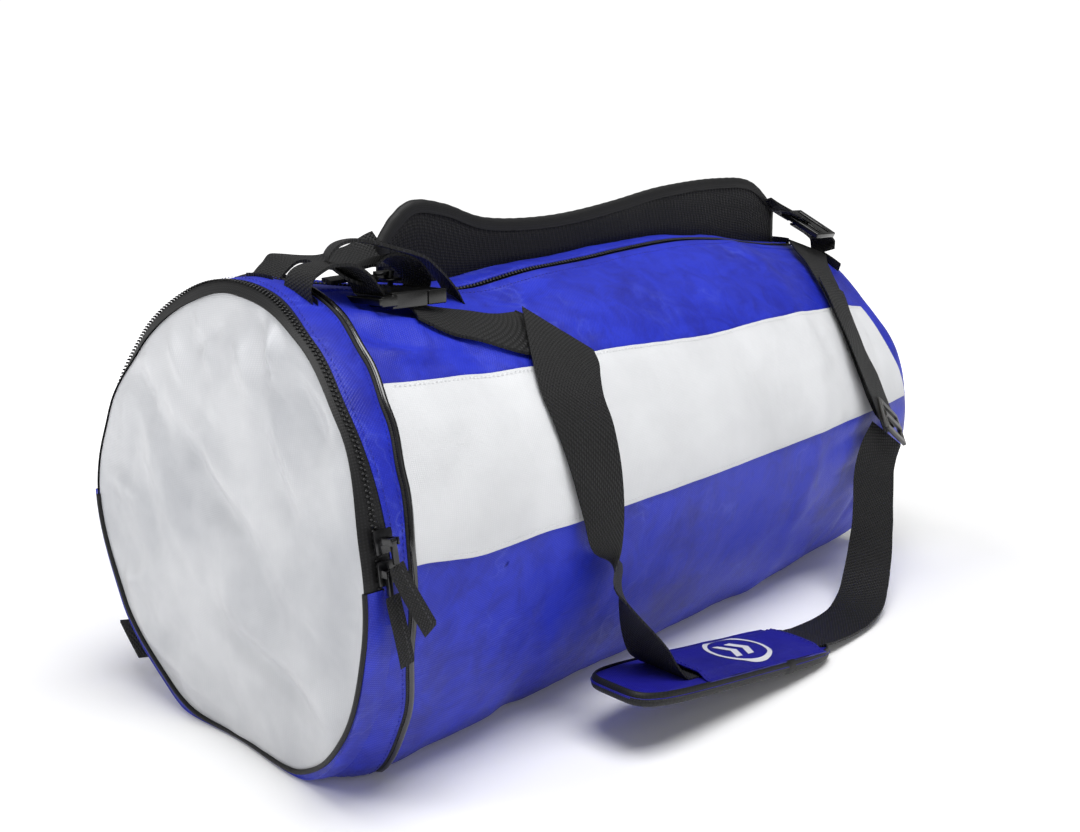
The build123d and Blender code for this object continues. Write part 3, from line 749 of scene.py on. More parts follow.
# Folds in the end panel: start (y, z) and end (y, z) from its middle, half width, height.
END_FOLDS = ((42, 76, -28, 20, 11, 7.0), (30, 60, -40, 4, 10, -5.5), (-24, 122, -38, 96, 7, 6.0),
             (-56, 140, -63, 112, 6, 6.5),
             (-40, 136, -50, 104, 7, -5.0), (76, 62, 26, -22, 12, 4.0), (0, 128, 22, 112, 6, -3.5),
             (22, 134, 6, 104, 6, 4.0),
             (-62, 84, -86, 40, 9, 4.5), (120, -62, 62, -32, 10, 5.0), (-17, -44, -104, -76, 12, 4.5),
             (-10, -58, -92, -92, 10, -4.0),
             (130, 16, 84, 4, 9, 3.5), (-82, 106, -106, 76, 8, -4.0), (48, 118, 30, 92, 6, 4.0),
             (96, 96, 70, 72, 8, -3.5),
             (104, -90, 25, -116, 10, 4.5), (-72, -10, -112, -30, 10, 3.5), (-8, 20, -60, -24, 12, -4.0))


def end_wrinkle(y, z):
    """Soft hollows and folds of an end panel, mm."""
    spot = Vector((y / 66, z / 78, 1.3))
    total = 5.0 * noise.noise(spot) + 3.0 * noise.noise(spot * 2.2 + Vector((4, 1, 0))) + 0.8 * noise.noise(spot * 5.5)
    for y0, z0, y1, z1, half, high in END_FOLDS:
        dy, dz = y1 - y0, z1 - z0
        along = ((y - y0) * dy + (z - z0) * dz) / (dy * dy + dz * dz)
        if -0.4 < along < 1.4:
            away = ((y - y0) * dz - (z - z0) * dy) / math.hypot(dy, dz)
            total += high * hump(away, 0, half) * ease(along, -0.4, 0.25) * (1 - ease(along, 0.7, 1.4))
    return total


FOLD_LINE = ("bag", "pocket_flap", (0, 0, (FOLD_Z - 13) * MM), (0, 0, (FOLD_Z + 13) * MM))


# How far the white panel's edge sits inside the rim: it has sagged at the top, and the gusset turns in below.
inset = traced(((-175, 5), (-150, 6), (-120, 6), (-90, 6), (-62, 4), (-35, 1.5), (0, 0.5), (40, 0.5), (64, 1.5),
                (84, 5), (104, 9),
                (130, 11), (152, 8), (170, 5)))


def on_disc(co):
    """Where a square grid's vertex lies on the unit disc, with its radius and its angle round the barrel."""
    a, b = co.x * math.sqrt(1 - co.y * co.y / 2), co.y * math.sqrt(1 - co.x * co.x / 2)
    return a, b, math.hypot(a, b), math.degrees(math.atan2(b, -a))


def flat_uv(bm, uv):
    """Lays an end panel's weave out level."""
    for face in bm.faces:
        for loop in face.loops:
            loop[uv].uv = (loop.vert.co.y, loop.vert.co.z)


def end_disc():
    """The end panel: one cloth."""
    bm = bmesh.new()
    bmesh.ops.create_grid(bm, x_segments=78, y_segments=78, size=1.0)
    uv = bm.loops.layers.uv.new("weave")
    for v in bm.verts:
        a, b, r, angle = on_disc(v.co)
        reach = BARREL_R - 1.0 + swell(NEAR_X, angle) - inset(angle)
        y, z = a * reach, b * reach
        crown = 3.0 * (1 - r * r) + end_wrinkle(y, z) * ease(1 - r, 0.0, 0.08)
        z += CENTRE_Z
        if z < 5.5:
            z = 0.5 + 5 * math.exp((z - 5.5) / 5.0)
        x = span(NEAR_X - 4, rim_x(angle), r * r)
        v.co = Vector((x + 1.0 - 0.85 * crown, y, z)) * MM
    flat_uv(bm, uv)
    bmesh.ops.recalc_face_normals(bm, faces=bm.faces[:])
    if sum(f.normal.x for f in bm.faces) > 0:
        bmesh.ops.reverse_faces(bm, faces=bm.faces)
    bmesh.ops.solidify(bm, geom=bm.faces[:], thickness=1.2 * MM)
    bmesh.ops.recalc_face_normals(bm, faces=bm.faces[:])
    piece = to_object("end_panel_cloth", bm, SHADE_GREYED_WHITE_PANEL)
    return finish(piece, FOLD_LINE, "white_cloth", "end_flap", "end_panel_lower")


def ring_band(name, mat, x0, x1, r0, r1, low, high, body, slot, nodes=(), cells=3.0, bulge=0.0, thick=1.0, rough=0.5):
    """Cloth that runs round the end, from (x0, r0) to (x1, r1)."""
    def place(s, t):
        angle = span(low, high, s)
        x = span(x0(angle), x1(angle), t)
        wob = rough * noise.noise(Vector((x / 20, angle / 9, 2.1))) * math.sin(math.pi * t)
        inner = r0(angle) if callable(r0) else r0
        outer = r1(angle) if callable(r1) else r1
        r = span(inner, outer, t) + bulge * math.sin(math.pi * t) + wob + swell(x, angle)
        return ring_spot(x, r, angle)
    length = BARREL_R * math.radians(abs(high - low))
    wide = abs(x1(0.5 * (low + high)) - x0(0.5 * (low + high)))
    piece = cloth(name, mat, place, max(8, int(length / cells / 1.5)), max(3, int(wide / cells)), (length, wide), thick)
    return finish(piece, body, slot, *nodes)


def past(line, more):
    """A line round the end, moved along the barrel."""
    return lambda angle: line(angle) + more


def coil_x(angle):
    """Middle of the end zip."""
    return 0.5 * (rim_x(angle) + zip_x(angle)) + 0.5


PULL_SHIFT = -10.0
ZIP_MID_X = -312.0 + PULL_SHIFT
end_disc()
# Blue band between the piping and the zip, and the narrow strip between the zip and the white panel.
ring_band("gusset_band", BLUE, seam_x, past(zip_x, -1.5), 150.2, 150.3, -180, 180, "bag", "blue_nylon",
          ("near_gusset",), 2.6, 1.0)
ring_band("gusset_lower_edge", BLUE, past(zip_x, -1.5), past(rim_x, 1.0), 150.3, 150.2, -181, 1.0, "bag",
          "blue_nylon", (), 2.6, 0.8)
ring_band("gusset_turned_edge", BLUE, past(rim_x, 1.4), past(rim_x, 0.6), 150.4, lambda a: 149.0 - inset(a), -181,
          1.0, "bag", "blue_nylon",
          (), 2.0, 0.3, 0.6, 0.2)


ring_band("end_zip_tape_outer", ZIP_TAPE, past(coil_x, 0.05), past(zip_x, 1.5), 150.0, 149.4, 0, 180, "bag", "zip_tape",
          ("end_zip_tape_fixed",), 2.6, 0.5, 0.7, 0.2)
ring_band("end_zip_tape_inner", ZIP_TAPE, past(rim_x, -0.3), past(coil_x, -0.05), lambda a: 149.6 - inset(a), 150.0,
          -1, 181, FOLD_LINE, "zip_tape",
          ("end_flap_zip_tape",), 2.6, 0.4, 0.7, 0.2)


def end_coil(name, side, body, *nodes):
    pitch = 3.1
    count = int(BARREL_R * math.pi / pitch)
    spots = []
    for i in range(count):
        a = 0.6 + (i + (0.25 if side > 0 else 0.75)) * 178.8 / count
        spots.append((ring_spot(coil_x(a) + side * 1.1, 150.5 + swell(NEAR_X, a), a), Vector((1, 0, 0)), outward(a)))
    piece = bead_row(name, COIL, spots, 3.0, 1.7, 1.2)
    return finish(piece, body, "zip_coil", *nodes)


end_coil("end_zip_coil_outer", 1, "bag", "end_zip_coil_fixed")
end_coil("end_zip_coil_inner", -1, FOLD_LINE, "end_flap_coil")


def ring_points(x, r, low, high, step=2.0):
    count = max(4, int((high - low) / step))
    spots = []
    for i in range(count + 1):
        a = span(low, high, i / count)
        reach = r(a) if callable(r) else r
        spots.append(ring_spot(x(a), reach + swell(x(a), a), a, max(1.8, reach - 149)))
    return spots


def ring_stitches(name, mat, x, r, low, high, body, pitch=3.6):
    def place(s):
        a = span(low, high, s)
        return ring_spot(x(a), r + swell(x(a), a), a), outward(a)
    piece = stitch_line(name, mat, place, BARREL_R * math.radians(high - low), pitch, 2.2, 0.5)
    return finish(piece, body, "blue_nylon")


finish(tube("seam_piping_cord", PIPING, ring_points(past(seam_x, -1.0), 151.6, -180, 178), 2.0, closed=True), "bag",
       "piping", "seam_piping")
finish(tube("seam_piping_flange", BINDING, ring_points(past(seam_x, -3.4), 150.6, -180, 178), 1.4, closed=True),
       "bag", "piping")
finish(tube("end_panel_cord", BINDING, ring_points(past(rim_x, 0.2), lambda a: 149.6 - inset(a), 180, 361), 1.6),
       "bag", "piping", "end_panel_piping")
ring_stitches("gusset_stitches", THREAD_DARK, past(zip_x, 1.2), 151.2, 2, 178, "bag")
ring_stitches("gusset_seam_stitches", THREAD_DARK, past(seam_x, -7.0), 151.4, -178, 178, "bag")
for name, low, high in (("zip_garage_front", -6.5, 1.6), ("zip_garage_back", 178.4, 186)):
    ring_band(name, BLUE, past(coil_x, 1.0), past(zip_x, 3.0), 150.4, 150.8, low, high, "bag", "blue_nylon",
              ("end_zip_garages",) if low < 0 else (), 1.6, 2.2, 1.0)


def far_disc():
    """The far end panel: plain white cloth, sewn in by a piped seam."""
    bm = bmesh.new()
    bmesh.ops.create_grid(bm, x_segments=60, y_segments=60, size=1.0)
    uv = bm.loops.layers.uv.new("weave")
    for v in bm.verts:
        a, b, r, angle = on_disc(v.co)
        reach = BARREL_R - 9.5 + swell(FAR_X, angle)
        y, z = a * reach, b * reach
        crown = 7.0 * (1 - r * r) + end_wrinkle(y + 400, z) * ease(1 - r, 0.0, 0.10)
        z += CENTRE_Z
        if z < 5.5:
            z = 0.8 + 5 * math.exp((z - 5.5) / 5.0)
        v.co = Vector((FAR_X - 2.5 + 0.8 * crown, y, z)) * MM
    flat_uv(bm, uv)
    if sum(f.normal.x for f in bm.faces) < 0:
        bmesh.ops.reverse_faces(bm, faces=bm.faces)
    bmesh.ops.solidify(bm, geom=bm.faces[:], thickness=1.2 * MM)
    bmesh.ops.recalc_face_normals(bm, faces=bm.faces[:])
    return finish(to_object("far_panel_cloth", bm, SHADE_GREYED_WHITE_PANEL), "bag", "white_cloth", "far_end_panel")


far_disc()
finish(tube("far_piping_cord", PIPING, ring_points(lambda a: FAR_X + 0.6, 142.4, -180, 178), 1.8, closed=True), "bag",
       "piping", "far_piping")


# ---------------------------------------------------------------- sliders and pulls
def refined(node, mat, soften, body, slot, segments=3, move=None):
    """A copy of a hard CAD part with its edges rounded as the mould or die leaves them."""
    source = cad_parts[node]
    bm = bmesh.new()
    bm.from_mesh(source.data)
    bm.transform(source.matrix_world if move is None else move @ source.matrix_world)
    bmesh.ops.remove_doubles(bm, verts=bm.verts, dist=1e-6)
    bmesh.ops.dissolve_limit(bm, angle_limit=math.radians(2), verts=bm.verts, edges=bm.edges)
    edges = [e for e in bm.edges if len(e.link_faces) == 2 and e.calc_face_angle() > math.radians(28)]
    bmesh.ops.bevel(bm, geom=edges, offset=soften * MM, offset_type="OFFSET", segments=segments, profile=0.5,
                    affect="EDGES", clamp_overlap=True, material=-1)
    bmesh.ops.triangulate(bm, faces=bm.faces)
    piece = to_object(node + "_shape", bm, mat, 35)
    return finish(piece, body, slot, node)


for node, body in (("end_zip_slider_a", "pocket_slider_a"), ("end_zip_slider_b", "pocket_slider_b"),
                   ("main_zip_slider", "barrel_slider"), ("end_zip_puller_a", "pocket_pull_a"),
                   ("end_zip_puller_b", "pocket_pull_b"), ("main_zip_puller", "barrel_pull")):
    shift = Matrix.Translation((PULL_SHIFT * MM, 0, 0)) if "end" in node else None
    refined(node, METAL, 0.35, body, "black_metal", 2, shift)


def at_front(x, r, drop, angle):
    """A point hung at the barrel's front, `drop` mm down, then turned up by angle."""
    a = math.radians(angle)
    y, z = -r, -drop
    return Vector((x, y * math.cos(a) + z * math.sin(a), CENTRE_Z - y * math.sin(a) + z * math.cos(a)))


def pull_tab(name, x, r, angle, lean, body, node, long=38.0, curl=2.0):
    """Folded webbing tab on a slider, with a row of stitches down its middle."""
    points, normals = [], []
    for i in range(7):
        t = i / 6
        points.append(at_front(x + lean * t ** 1.3, r + curl * math.sin(t * 2.2), 12.5 + long * t, angle))
        normals.append(outward(angle))
    piece = strap(name, PULL_TAPE, points, normals, 10.0, 2.6, 1.6, 0.5)
    finish(piece, body, "webbing", node)

    def row(s):
        k = 0.06 + 0.88 * s
        p = at_front(x + lean * k ** 1.3, r + curl * math.sin(k * 2.2), 12.5 + long * k, angle)
        return p + outward(angle) * 1.35, outward(angle)
    finish(stitch_line(name + "_stitches", THREAD_BLACK, row, long * 0.88, 2.6, 1.9, 0.7), body, "webbing")
    return piece


pull_tab("end_tab_cloth_a", ZIP_MID_X + 1.0, 161.5, 11.0, 15.0, "pocket_pull_a", "end_zip_tab_a")
pull_tab("end_tab_cloth_b", ZIP_MID_X + 1.0, 156.6, 4.7, 5.0, "pocket_pull_b", "end_zip_tab_b")


def barrel_tab():
    """The barrel zip's tab lies along the zip."""
    low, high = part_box("main_zip_tab")
    mid = (Vector(low) + Vector(high)) / 2 / MM
    size = (Vector(high) - Vector(low)) / MM
    up = outward(ZIP_ANGLE)
    points = [Vector((mid.x + size.x * (t - 0.5), mid.y, mid.z)) + up * (1.2 * math.sin(t * 3)) for t in (0, 0.25,
                                                                                                          0.5, 0.75, 1)]
    piece = strap("barrel_tab_cloth", PULL_TAPE, points, [up] * 5, 10.0, 2.4, 1.6, 0.5)
    finish(piece, "barrel_pull", "webbing", "main_zip_tab")


barrel_tab()


# ---------------------------------------------------------------- carry strap
def on_barrel(x, angle, r):
    a = math.radians(angle)
    return Vector((x, -r * math.cos(a), CENTRE_Z + r * math.sin(a)))


PAD_NEAR = Vector((-158.0, -182.0, 46.0))
PAD_FAR = Vector((53.0, -195.0, 13.0))
PAD_UP = Vector((0.155, -0.004, 0.988)).normalized()


def along_pad(share):
    return PAD_NEAR.lerp(PAD_FAR, share)


def near_run():
    """The webbing lies along the barrel from under the loop to the fold."""
    tops = [skin(x, a, 4.6) for x, a in ((-226, 67), (-205, 64), (-186, 61.5), (-162, 60), (-142, 59))]
    lows = [skin(x, a, 3.8) for x, a in ((-232, 59), (-214, 54), (-196, 50), (-165, 44.5), (-124, 41))]
    return finish(ribbon("strap_run_near", WEBBING, tops, lows, cup=-6.0), "carry_strap", "webbing", "strap_near_run")


def near_drop():
    """Folded over the run on a slant, it hangs past the barrel's front, turns edge-on and enters the pad."""
    lefts = [(-143, -83, 276), (-155, -98, 265), (-167, -114, 249), (-174, -128, 230), (-173.5, -140, 209),
             (-171, -151, 181),
             (-166, -157, 152), (-159, -160, 128)]
    rights = [(-113, -120, 247), (-119, -130, 240), (-127, -138, 232), (-133, -146, 221), (-133, -154, 204),
              (-134, -162, 177),
              (-137, -167, 149), (-141, -168, 126)]
    path = (((-138, -163, 108), (0.5, -0.86, 0)), ((-135, -167, 90), (0.78, -0.62, 0)),
            ((-131, -173, 72), (0.95, -0.3, 0.1)),
            ((-126, -179, 57), (0.98, -0.05, 0.2)), ((-119, -183, 46), (0.75, 0, 0.66)))
    points, normals = split(path)
    points += [along_pad(0.225), along_pad(0.26)]
    normals += [PAD_UP, PAD_UP]
    for c, n in zip(points, normals):
        i = points.index(c)
        way = (points[min(i + 1, 6)] - points[max(i - 1, 0)]).normalized()
        side = way.cross(n.normalized()).normalized() * (WEB_W / 2)
        lefts.append(c - side)
        rights.append(c + side)
    return finish(ribbon("strap_drop_near", WEBBING, lefts, rights, cup=0.9), "carry_strap", "webbing",
                  "strap_near_drop")


def near_fold():
    """The rolled edge where the webbing turns over on itself."""
    line = [skin(-143, 59.3, 2.6), skin(-128, 50.5, 3.2), skin(-113, 42, 3.0)]
    points, _ = spline(line, 20)
    return finish(tube("strap_fold_near", WEBBING, points, 2.4), "carry_strap", "webbing")


def pad_run():
    points = [along_pad(s) for s in (0.25, 0.5, 0.8, 1.075)]
    return finish(strap("strap_through_pad", WEBBING, points, [PAD_UP] * 4), "carry_strap", "webbing",
                  "strap_pad_webbing")


def far_drop():
    free = (((100, -196.5, 8.5), (-0.02, -0.02, 1)), ((128, -196, 9), (-0.1, -0.06, 1)),
            ((152, -193, 15), (-0.4, -0.25, 0.9)), ((170, -188, 27), (-0.62, -0.45, 0.6)),
            ((185, -183, 42), (-0.7, -0.62, 0.35)), ((198, -178, 64), (-0.62, -0.76, 0.2)),
            ((207, -173, 85), (-0.6, -0.8, 0.1)), ((214, -169, 106), (-0.62, -0.78, 0.05)),
            ((224, -167, 122), (-0.6, -0.8, 0.05)), ((238, -167, 138), (-0.45, -0.86, 0.1)))
    points, normals = split(free)
    return finish(strap("strap_drop_far", WEBBING, [along_pad(1.06)] + points, [PAD_UP] + normals), "carry_strap",
                  "webbing", "strap_far_drop")


def far_rise(name, out, node, stops):
    points = [on_barrel(x, a, r + out) for x, a, r in stops]
    faces = [outward(a) + Vector((0.22, 0, 0)) for x, a, r in stops]
    return finish(strap(name, WEBBING, points, faces), "carry_strap", "webbing", node)


near_run()
near_drop()
near_fold()
pad_run()
far_drop()
far_rise("strap_rise_far", 0.0, "strap_far_rise",
         ((248, -0.5, 167), (246, 5, 160), (239, 11.5, 155), (230, 21.5, 154), (229, 30.5, 154), (235, 41, 155),
          (252, 55, 157), (274, 66, 158), (298, 73, 158)))
far_rise("strap_rise_doubled", 2.6, "strap_far_double",
         ((240, 1, 166), (234, 12, 158), (226, 22, 156), (226, 31, 155.5), (232, 41, 156), (244, 50, 157)))


def near_loop():
    """Narrow webbing sewn in the seam: up, round in an arch and down to the buckle's bar."""
    y = -44
    path = (((-293, y, 289), (-1, 0, 0.1)), ((-294, y, 297), (-1, 0, 0.2)), ((-289, y, 306), (-0.8, 0, 0.8)),
            ((-275, y - 2, 311), (0, 0, 1)), ((-260, y - 5, 308), (0.6, 0, 0.8)), ((-251, y - 8, 299), (0.9, 0, 0.5)),
            ((-247, y - 10, 291), (1, 0, 0.3)), ((-240, y - 11, 286), (0.6, 0, 0.8)))
    piece = strap("strap_loop_near", WEBBING, *split(path), ANCHOR_W, WEB_T, 2.5, 0.6)
    return finish(piece, "carry_strap", "webbing", "strap_near_loop")


def near_slack():
    """The free length stands up from the buckle in a big loop and comes down to the run."""
    lefts = [(-232, -54, 289), (-248, -54, 295), (-266, -54, 302), (-277, -54, 312), (-271, -54, 320),
             (-259, -54, 323.5), (-244, -54, 322),
             (-222, -54, 316.5), (-202, -54, 311), (-189, -54, 302), (-176, -54, 290), (-169, -54, 280),
             (-167, -56, 272), (-178, -60, 266)]
    rights = [(-222, -28, 295), (-238, -28, 300), (-252, -28, 305), (-262, -28, 312), (-257, -28, 319),
              (-246, -28, 322), (-231, -28, 321),
              (-212, -28, 317), (-194, -28, 312), (-179, -27, 303.5), (-166, -27, 291), (-164, -29, 282),
              (-168, -32, 274), (-178, -38, 269)]
    piece = ribbon("strap_slack_near", WEBBING, lefts, rights, 2.0, 2.5, 1.2)
    return finish(piece, "carry_strap", "webbing", "strap_near_slack")


def near_curl():
    """The webbing's tail end, curled up inside the loop."""
    path = ((-236, -34, 306), (-222, -33, 312), (-205, -33, 309), (-193, -33, 300), (-191, -34, 291),
            (-199, -36, 284.5),
            (-211, -38, 284), (-221, -40, 290))
    points = [Vector(p) for p in path]
    middle = Vector((-206, -35, 297))
    normals = [(p - middle).normalized() for p in points]
    return finish(strap("strap_curl_near", WEBBING, points, normals, 25.0, 1.8, 2.5, 0.4), "carry_strap", "webbing")


near_loop()
near_slack()
near_curl()
BUCKLE_MOVE = Matrix.Translation(Vector((3, -2, -19.5)) * MM)
refined("buckle_female", PLASTIC, 1.1, "carry_strap", "buckle_plastic", move=BUCKLE_MOVE)
refined("buckle_male", PLASTIC, 0.8, "buckle_plug", "buckle_plastic", move=BUCKLE_MOVE)


def tri_glide():
    """Moulded slide adjuster: a frame with three bars, the middle one proud, tilted as it hangs."""
    across = Vector((0.874, 0.04, -0.485)).normalized()
    face = Vector((0.29, -0.845, 0.454))
    face = (face - across * face.dot(across)).normalized()
    up = face.cross(across).normalized()
    if up.z < 0:
        up = -up
    middle = Vector((244.5, -167.0, 147.0))
    bm = bmesh.new()
    bars = ((0, 13.0, 49.0, 5.0, 3.6, 0), (0, -13.0, 49.0, 5.0, 3.6, 0), (0, 0, 44.0, 5.4, 3.0, 1.2),
            (22.0, 0, 5.0, 28.0, 3.6, 0), (-22.0, 0, 5.0, 28.0, 3.6, 0))
    for x, z, long, high, deep, out in bars:
        made = bmesh.ops.create_cube(bm, size=1.0)
        for v in made["verts"]:
            q = v.co.copy()
            v.co = (middle + across * (x + q.x * long) + up * (z + q.z * high) + face * (out + q.y * deep)) * MM
    piece = to_object("tri_glide_frame", bm, GLIDE_PLASTIC, 40)
    remesh = piece.modifiers.new("melt", "REMESH")
    remesh.mode = "VOXEL"
    remesh.voxel_size = 0.0006
    remesh.use_smooth_shade = True
    smooth = piece.modifiers.new("round", "SMOOTH")
    smooth.factor = 0.6
    smooth.iterations = 6
    return finish(piece, "tri_glide", "buckle_plastic", "tri_glide")


tri_glide()
LOCK_MOVE = Matrix.Translation(Vector((24, 34, 17)) * MM)
refined("ladder_lock", PLASTIC, 1.0, "carry_strap", "buckle_plastic", move=LOCK_MOVE)


def far_anchor():
    """Doubled webbing from the far seam up through the ladder lock, its tail towards the padded strap."""
    stops = [Vector(p) for p in ((318, -52, 288), (322, -50, 295), (318, -49, 303), (306, -46, 309), (290, -42, 316))]
    faces = [Vector((1, 0, 0)), Vector((1, 0, 0.2)), Vector((0.8, -0.1, 0.6)), Vector((0.5, -0.1, 0.9)),
             Vector((0.4, -0.1, 0.9))]
    finish(strap("strap_loop_far", WEBBING, stops, faces, ANCHOR_W, WEB_T, 3.0), "carry_strap", "webbing",
           "strap_far_loop")
    tail = [Vector(p) for p in ((292, -41, 319), (278, -38, 325), (264, -34, 330))]
    finish(strap("strap_tail_far", WEBBING, tail, [Vector((0.4, -0.15, 0.9))] * 3, ANCHOR_W, WEB_T, 3.0),
           "carry_strap", "webbing", "ladder_tail")


far_anchor()


def seam_tabs():
    """Short webbing tabs caught in the end seams, which the straps are sewn to."""
    for name, low, high, x, node in (("seam_tab_near_front", 68, 78, -289, "seam_tabs_near"),
                                     ("seam_tab_near_back", 84, 94, -290, None),
                                     ("seam_tab_far_front", 60, 70, 307, "seam_tabs_far"),
                                     ("seam_tab_far_back", 83, 93, 310, None)):
        def place(s, t, low=low, high=high, x=x):
            a = span(low, high, t)
            return ring_spot(x + 2.5 * (0.5 - s), 150 + 0.4 * swell(x, a) + 7.0 * s, a)
        piece = cloth(name, WEBBING, place, 6, 12, (7, 27), 2.0)
        finish(piece, "bag", "webbing", *([node] if node else []))


seam_tabs()
tail = [(-292, 116, 36), (-298, 124, 34), (-308, 136, 32), (-318, 148, 30)]
finish(strap("rear_webbing_tab", WEBBING, [Vector(p) for p in tail], [Vector((-0.72, -0.62, 0.3))] * 4, 27.0, 2.0,
             2.5, ends=(0, 12)),
       "bag", "webbing", "rear_tab")


# ---------------------------------------------------------------- shoulder pad
PAD_LONG = 230.0
PAD_WIDE = 62.0
PAD_WAY = (PAD_FAR - PAD_NEAR).normalized()
PAD_SIDE = PAD_UP.cross(PAD_WAY).normalized()
PAD_MID = (PAD_NEAR + PAD_FAR) / 2


def pad_point(x, y, z):
    return PAD_MID + PAD_WAY * x + PAD_SIDE * y + PAD_UP * z


def rounded_reach(angle, long, wide, corner=5.0):
    """Distance from the middle to a superellipse's edge."""
    c, s = abs(math.cos(angle)) / (long / 2), abs(math.sin(angle)) / (wide / 2)
    return (c ** corner + s ** corner) ** (-1 / corner)


def pad_body():
    """Foam core in its two skins, closed all round."""
    bm = bmesh.new()
    bmesh.ops.create_grid(bm, x_segments=74, y_segments=24, size=1.0)
    bmesh.ops.solidify(bm, geom=bm.faces[:], thickness=0.2)
    uv = bm.loops.layers.uv.new("weave")
    flip = max(v.co.z for v in bm.verts)
    low = min(v.co.z for v in bm.verts)
    for v in bm.verts:
        top = v.co.z > (flip + low) / 2
        a = math.atan2(v.co.y * PAD_WIDE, v.co.x * PAD_LONG)
        k = max(abs(v.co.x), abs(v.co.y))
        reach = rounded_reach(a, PAD_LONG, PAD_WIDE) * k
        x, y = reach * math.cos(a), reach * math.sin(a)
        lump = 0.5 * noise.noise(Vector((x / 26, y / 20, 5.0 + top)))
        if top:
            z = -4.9 + 3.3 * (1 - k ** 6) ** 0.5 + lump * (1 - k)
        else:
            z = -6.0 - 3.4 * (1 - k ** 6) ** 0.5 - lump * (1 - k)
        v.co = pad_point(x, y, z) * MM
    for face in bm.faces:
        for loop in face.loops:
            p = loop.vert.co / MM - PAD_MID
            loop[uv].uv = (p.dot(PAD_WAY) * MM, p.dot(PAD_SIDE) * MM)
    bmesh.ops.recalc_face_normals(bm, faces=bm.faces[:])
    for face in bm.faces:
        face.material_index = 0 if face.normal.dot(PAD_UP) > 0 else 1
    piece = to_object("shoulder_pad_body", bm, PAD_BLUE, 60)
    piece.data.materials.append(FOAM_BACK)
    finish(piece, "shoulder_pad", "pad_foam", "shoulder_pad_base")


def pad_rim():
    """Binding tape folded over the pad's edge; its two ends overlap on the front side."""
    def place(s, t):
        a = 2 * math.pi * s - 0.55
        reach = rounded_reach(a, PAD_LONG - 1, PAD_WIDE - 1)
        turn = math.pi * (t - 0.5)
        out = math.cos(turn) * 2.8 + 0.12 * noise.noise(Vector((s * 40, t * 2, 1)))
        lap = 0.7 * ease(s, 0.985, 0.99)
        way = Vector((math.cos(a), math.sin(a) * PAD_LONG / PAD_WIDE * 0.6, 0)).normalized()
        centre = Vector((reach * math.cos(a), reach * math.sin(a), 0)) - way * 2.6
        x, y = centre.x + way.x * (out + lap), centre.y + way.y * (out + lap)
        return pad_point(x, y, -5.4 - math.sin(turn) * (4.2 + lap))
    piece = cloth("shoulder_pad_rim", BINDING, place, 260, 10, (550, 18), 0.9)
    finish(piece, "shoulder_pad", "binding", "shoulder_pad_binding")
    return piece


COVER_NEAR, COVER_FAR = -50.0, 93.0


def cover_height(x, y):
    """The sleeve lies over the webbing and slopes to the pad's sides."""
    flat = 1 - ease(abs(y), 17.5, 26.5)
    wave = 0.5 * noise.noise(Vector((x / 24, y / 13, 9.0)))
    mouth = 1.0 * (hump(x, COVER_NEAR, 8) + hump(x, COVER_FAR, 8)) * hump(y, 0, 16)
    return -1.3 + 3.3 * flat + wave + mouth


def pad_cover():
    def place(s, t):
        x = span(COVER_NEAR, COVER_FAR, s)
        y = span(-29.3, 29.3, t)
        return pad_point(x, y, cover_height(x, y))
    piece = cloth("shoulder_pad_sleeve", PAD_BLUE, place, 60, 28, (COVER_FAR - COVER_NEAR, 60), 0.8)
    finish(piece, "shoulder_pad", "blue_nylon", "shoulder_pad_cover")
    for name, x in (("pad_sleeve_stitches_near", COVER_NEAR + 3), ("pad_sleeve_stitches_far", COVER_FAR - 3)):
        def row(s, x=x):
            y = span(-27, 27, s)
            return pad_point(x, y, cover_height(x, y)), PAD_UP
        finish(stitch_line(name, THREAD_DARK, row, 54, 3.2, 2.3, 0.7), "shoulder_pad", "blue_nylon")


def pad_badge():
    """A plain printed oval with two chevrons, raised by the thickness of the ink."""
    bm = bmesh.new()
    ring_x = 20.0
    outer, inner = (29.0, 22.5), (25.4, 19.0)
    steps = 72
    loops = []
    for a, b in (outer, inner):
        ring = []
        for i in range(steps):
            t = 2 * math.pi * i / steps
            x, y = ring_x + a * math.cos(t), b * math.sin(t)
            ring.append(bm.verts.new(pad_point(x, y, cover_height(x, y) + 0.35) * MM))
        loops.append([bm.edges.new((ring[i], ring[(i + 1) % steps])) for i in range(steps)])
    bmesh.ops.bridge_loops(bm, edges=loops[0] + loops[1])
    for shift in (-7.0, 7.0):
        outline = ((-9, -11), (-2, -11), (6, 0), (-2, 11), (-9, 11), (-1, 0))
        corners = [bm.verts.new(pad_point(ring_x + shift + x, y, cover_height(ring_x + shift + x,
                                                                              y) + 0.35) * MM) for x, y in outline]
        face = bm.faces.new(corners)
        bmesh.ops.triangulate(bm, faces=[face])
    for face in bm.faces:
        if face.normal.dot(PAD_UP) < 0:
            face.normal_flip()
    bm.normal_update()
    finish(to_object("pad_badge_print", bm, WHITE_STRIPE, 0), "shoulder_pad", "white_cloth")


pad_body()
pad_rim()
pad_cover()
pad_badge()


# ---------------------------------------------------------------- padded strap
STRAP_TOP = ((-181, 316), (-167, 332), (-149, 342), (-120, 339), (-79, 328), (-12, 328),
             (63, 338), (132, 350), (210, 356), (262, 353), (300, 330))
STRAP_LINE, STRAP_LENGTH = spline([(x, 0, z) for x, z in STRAP_TOP], 240)


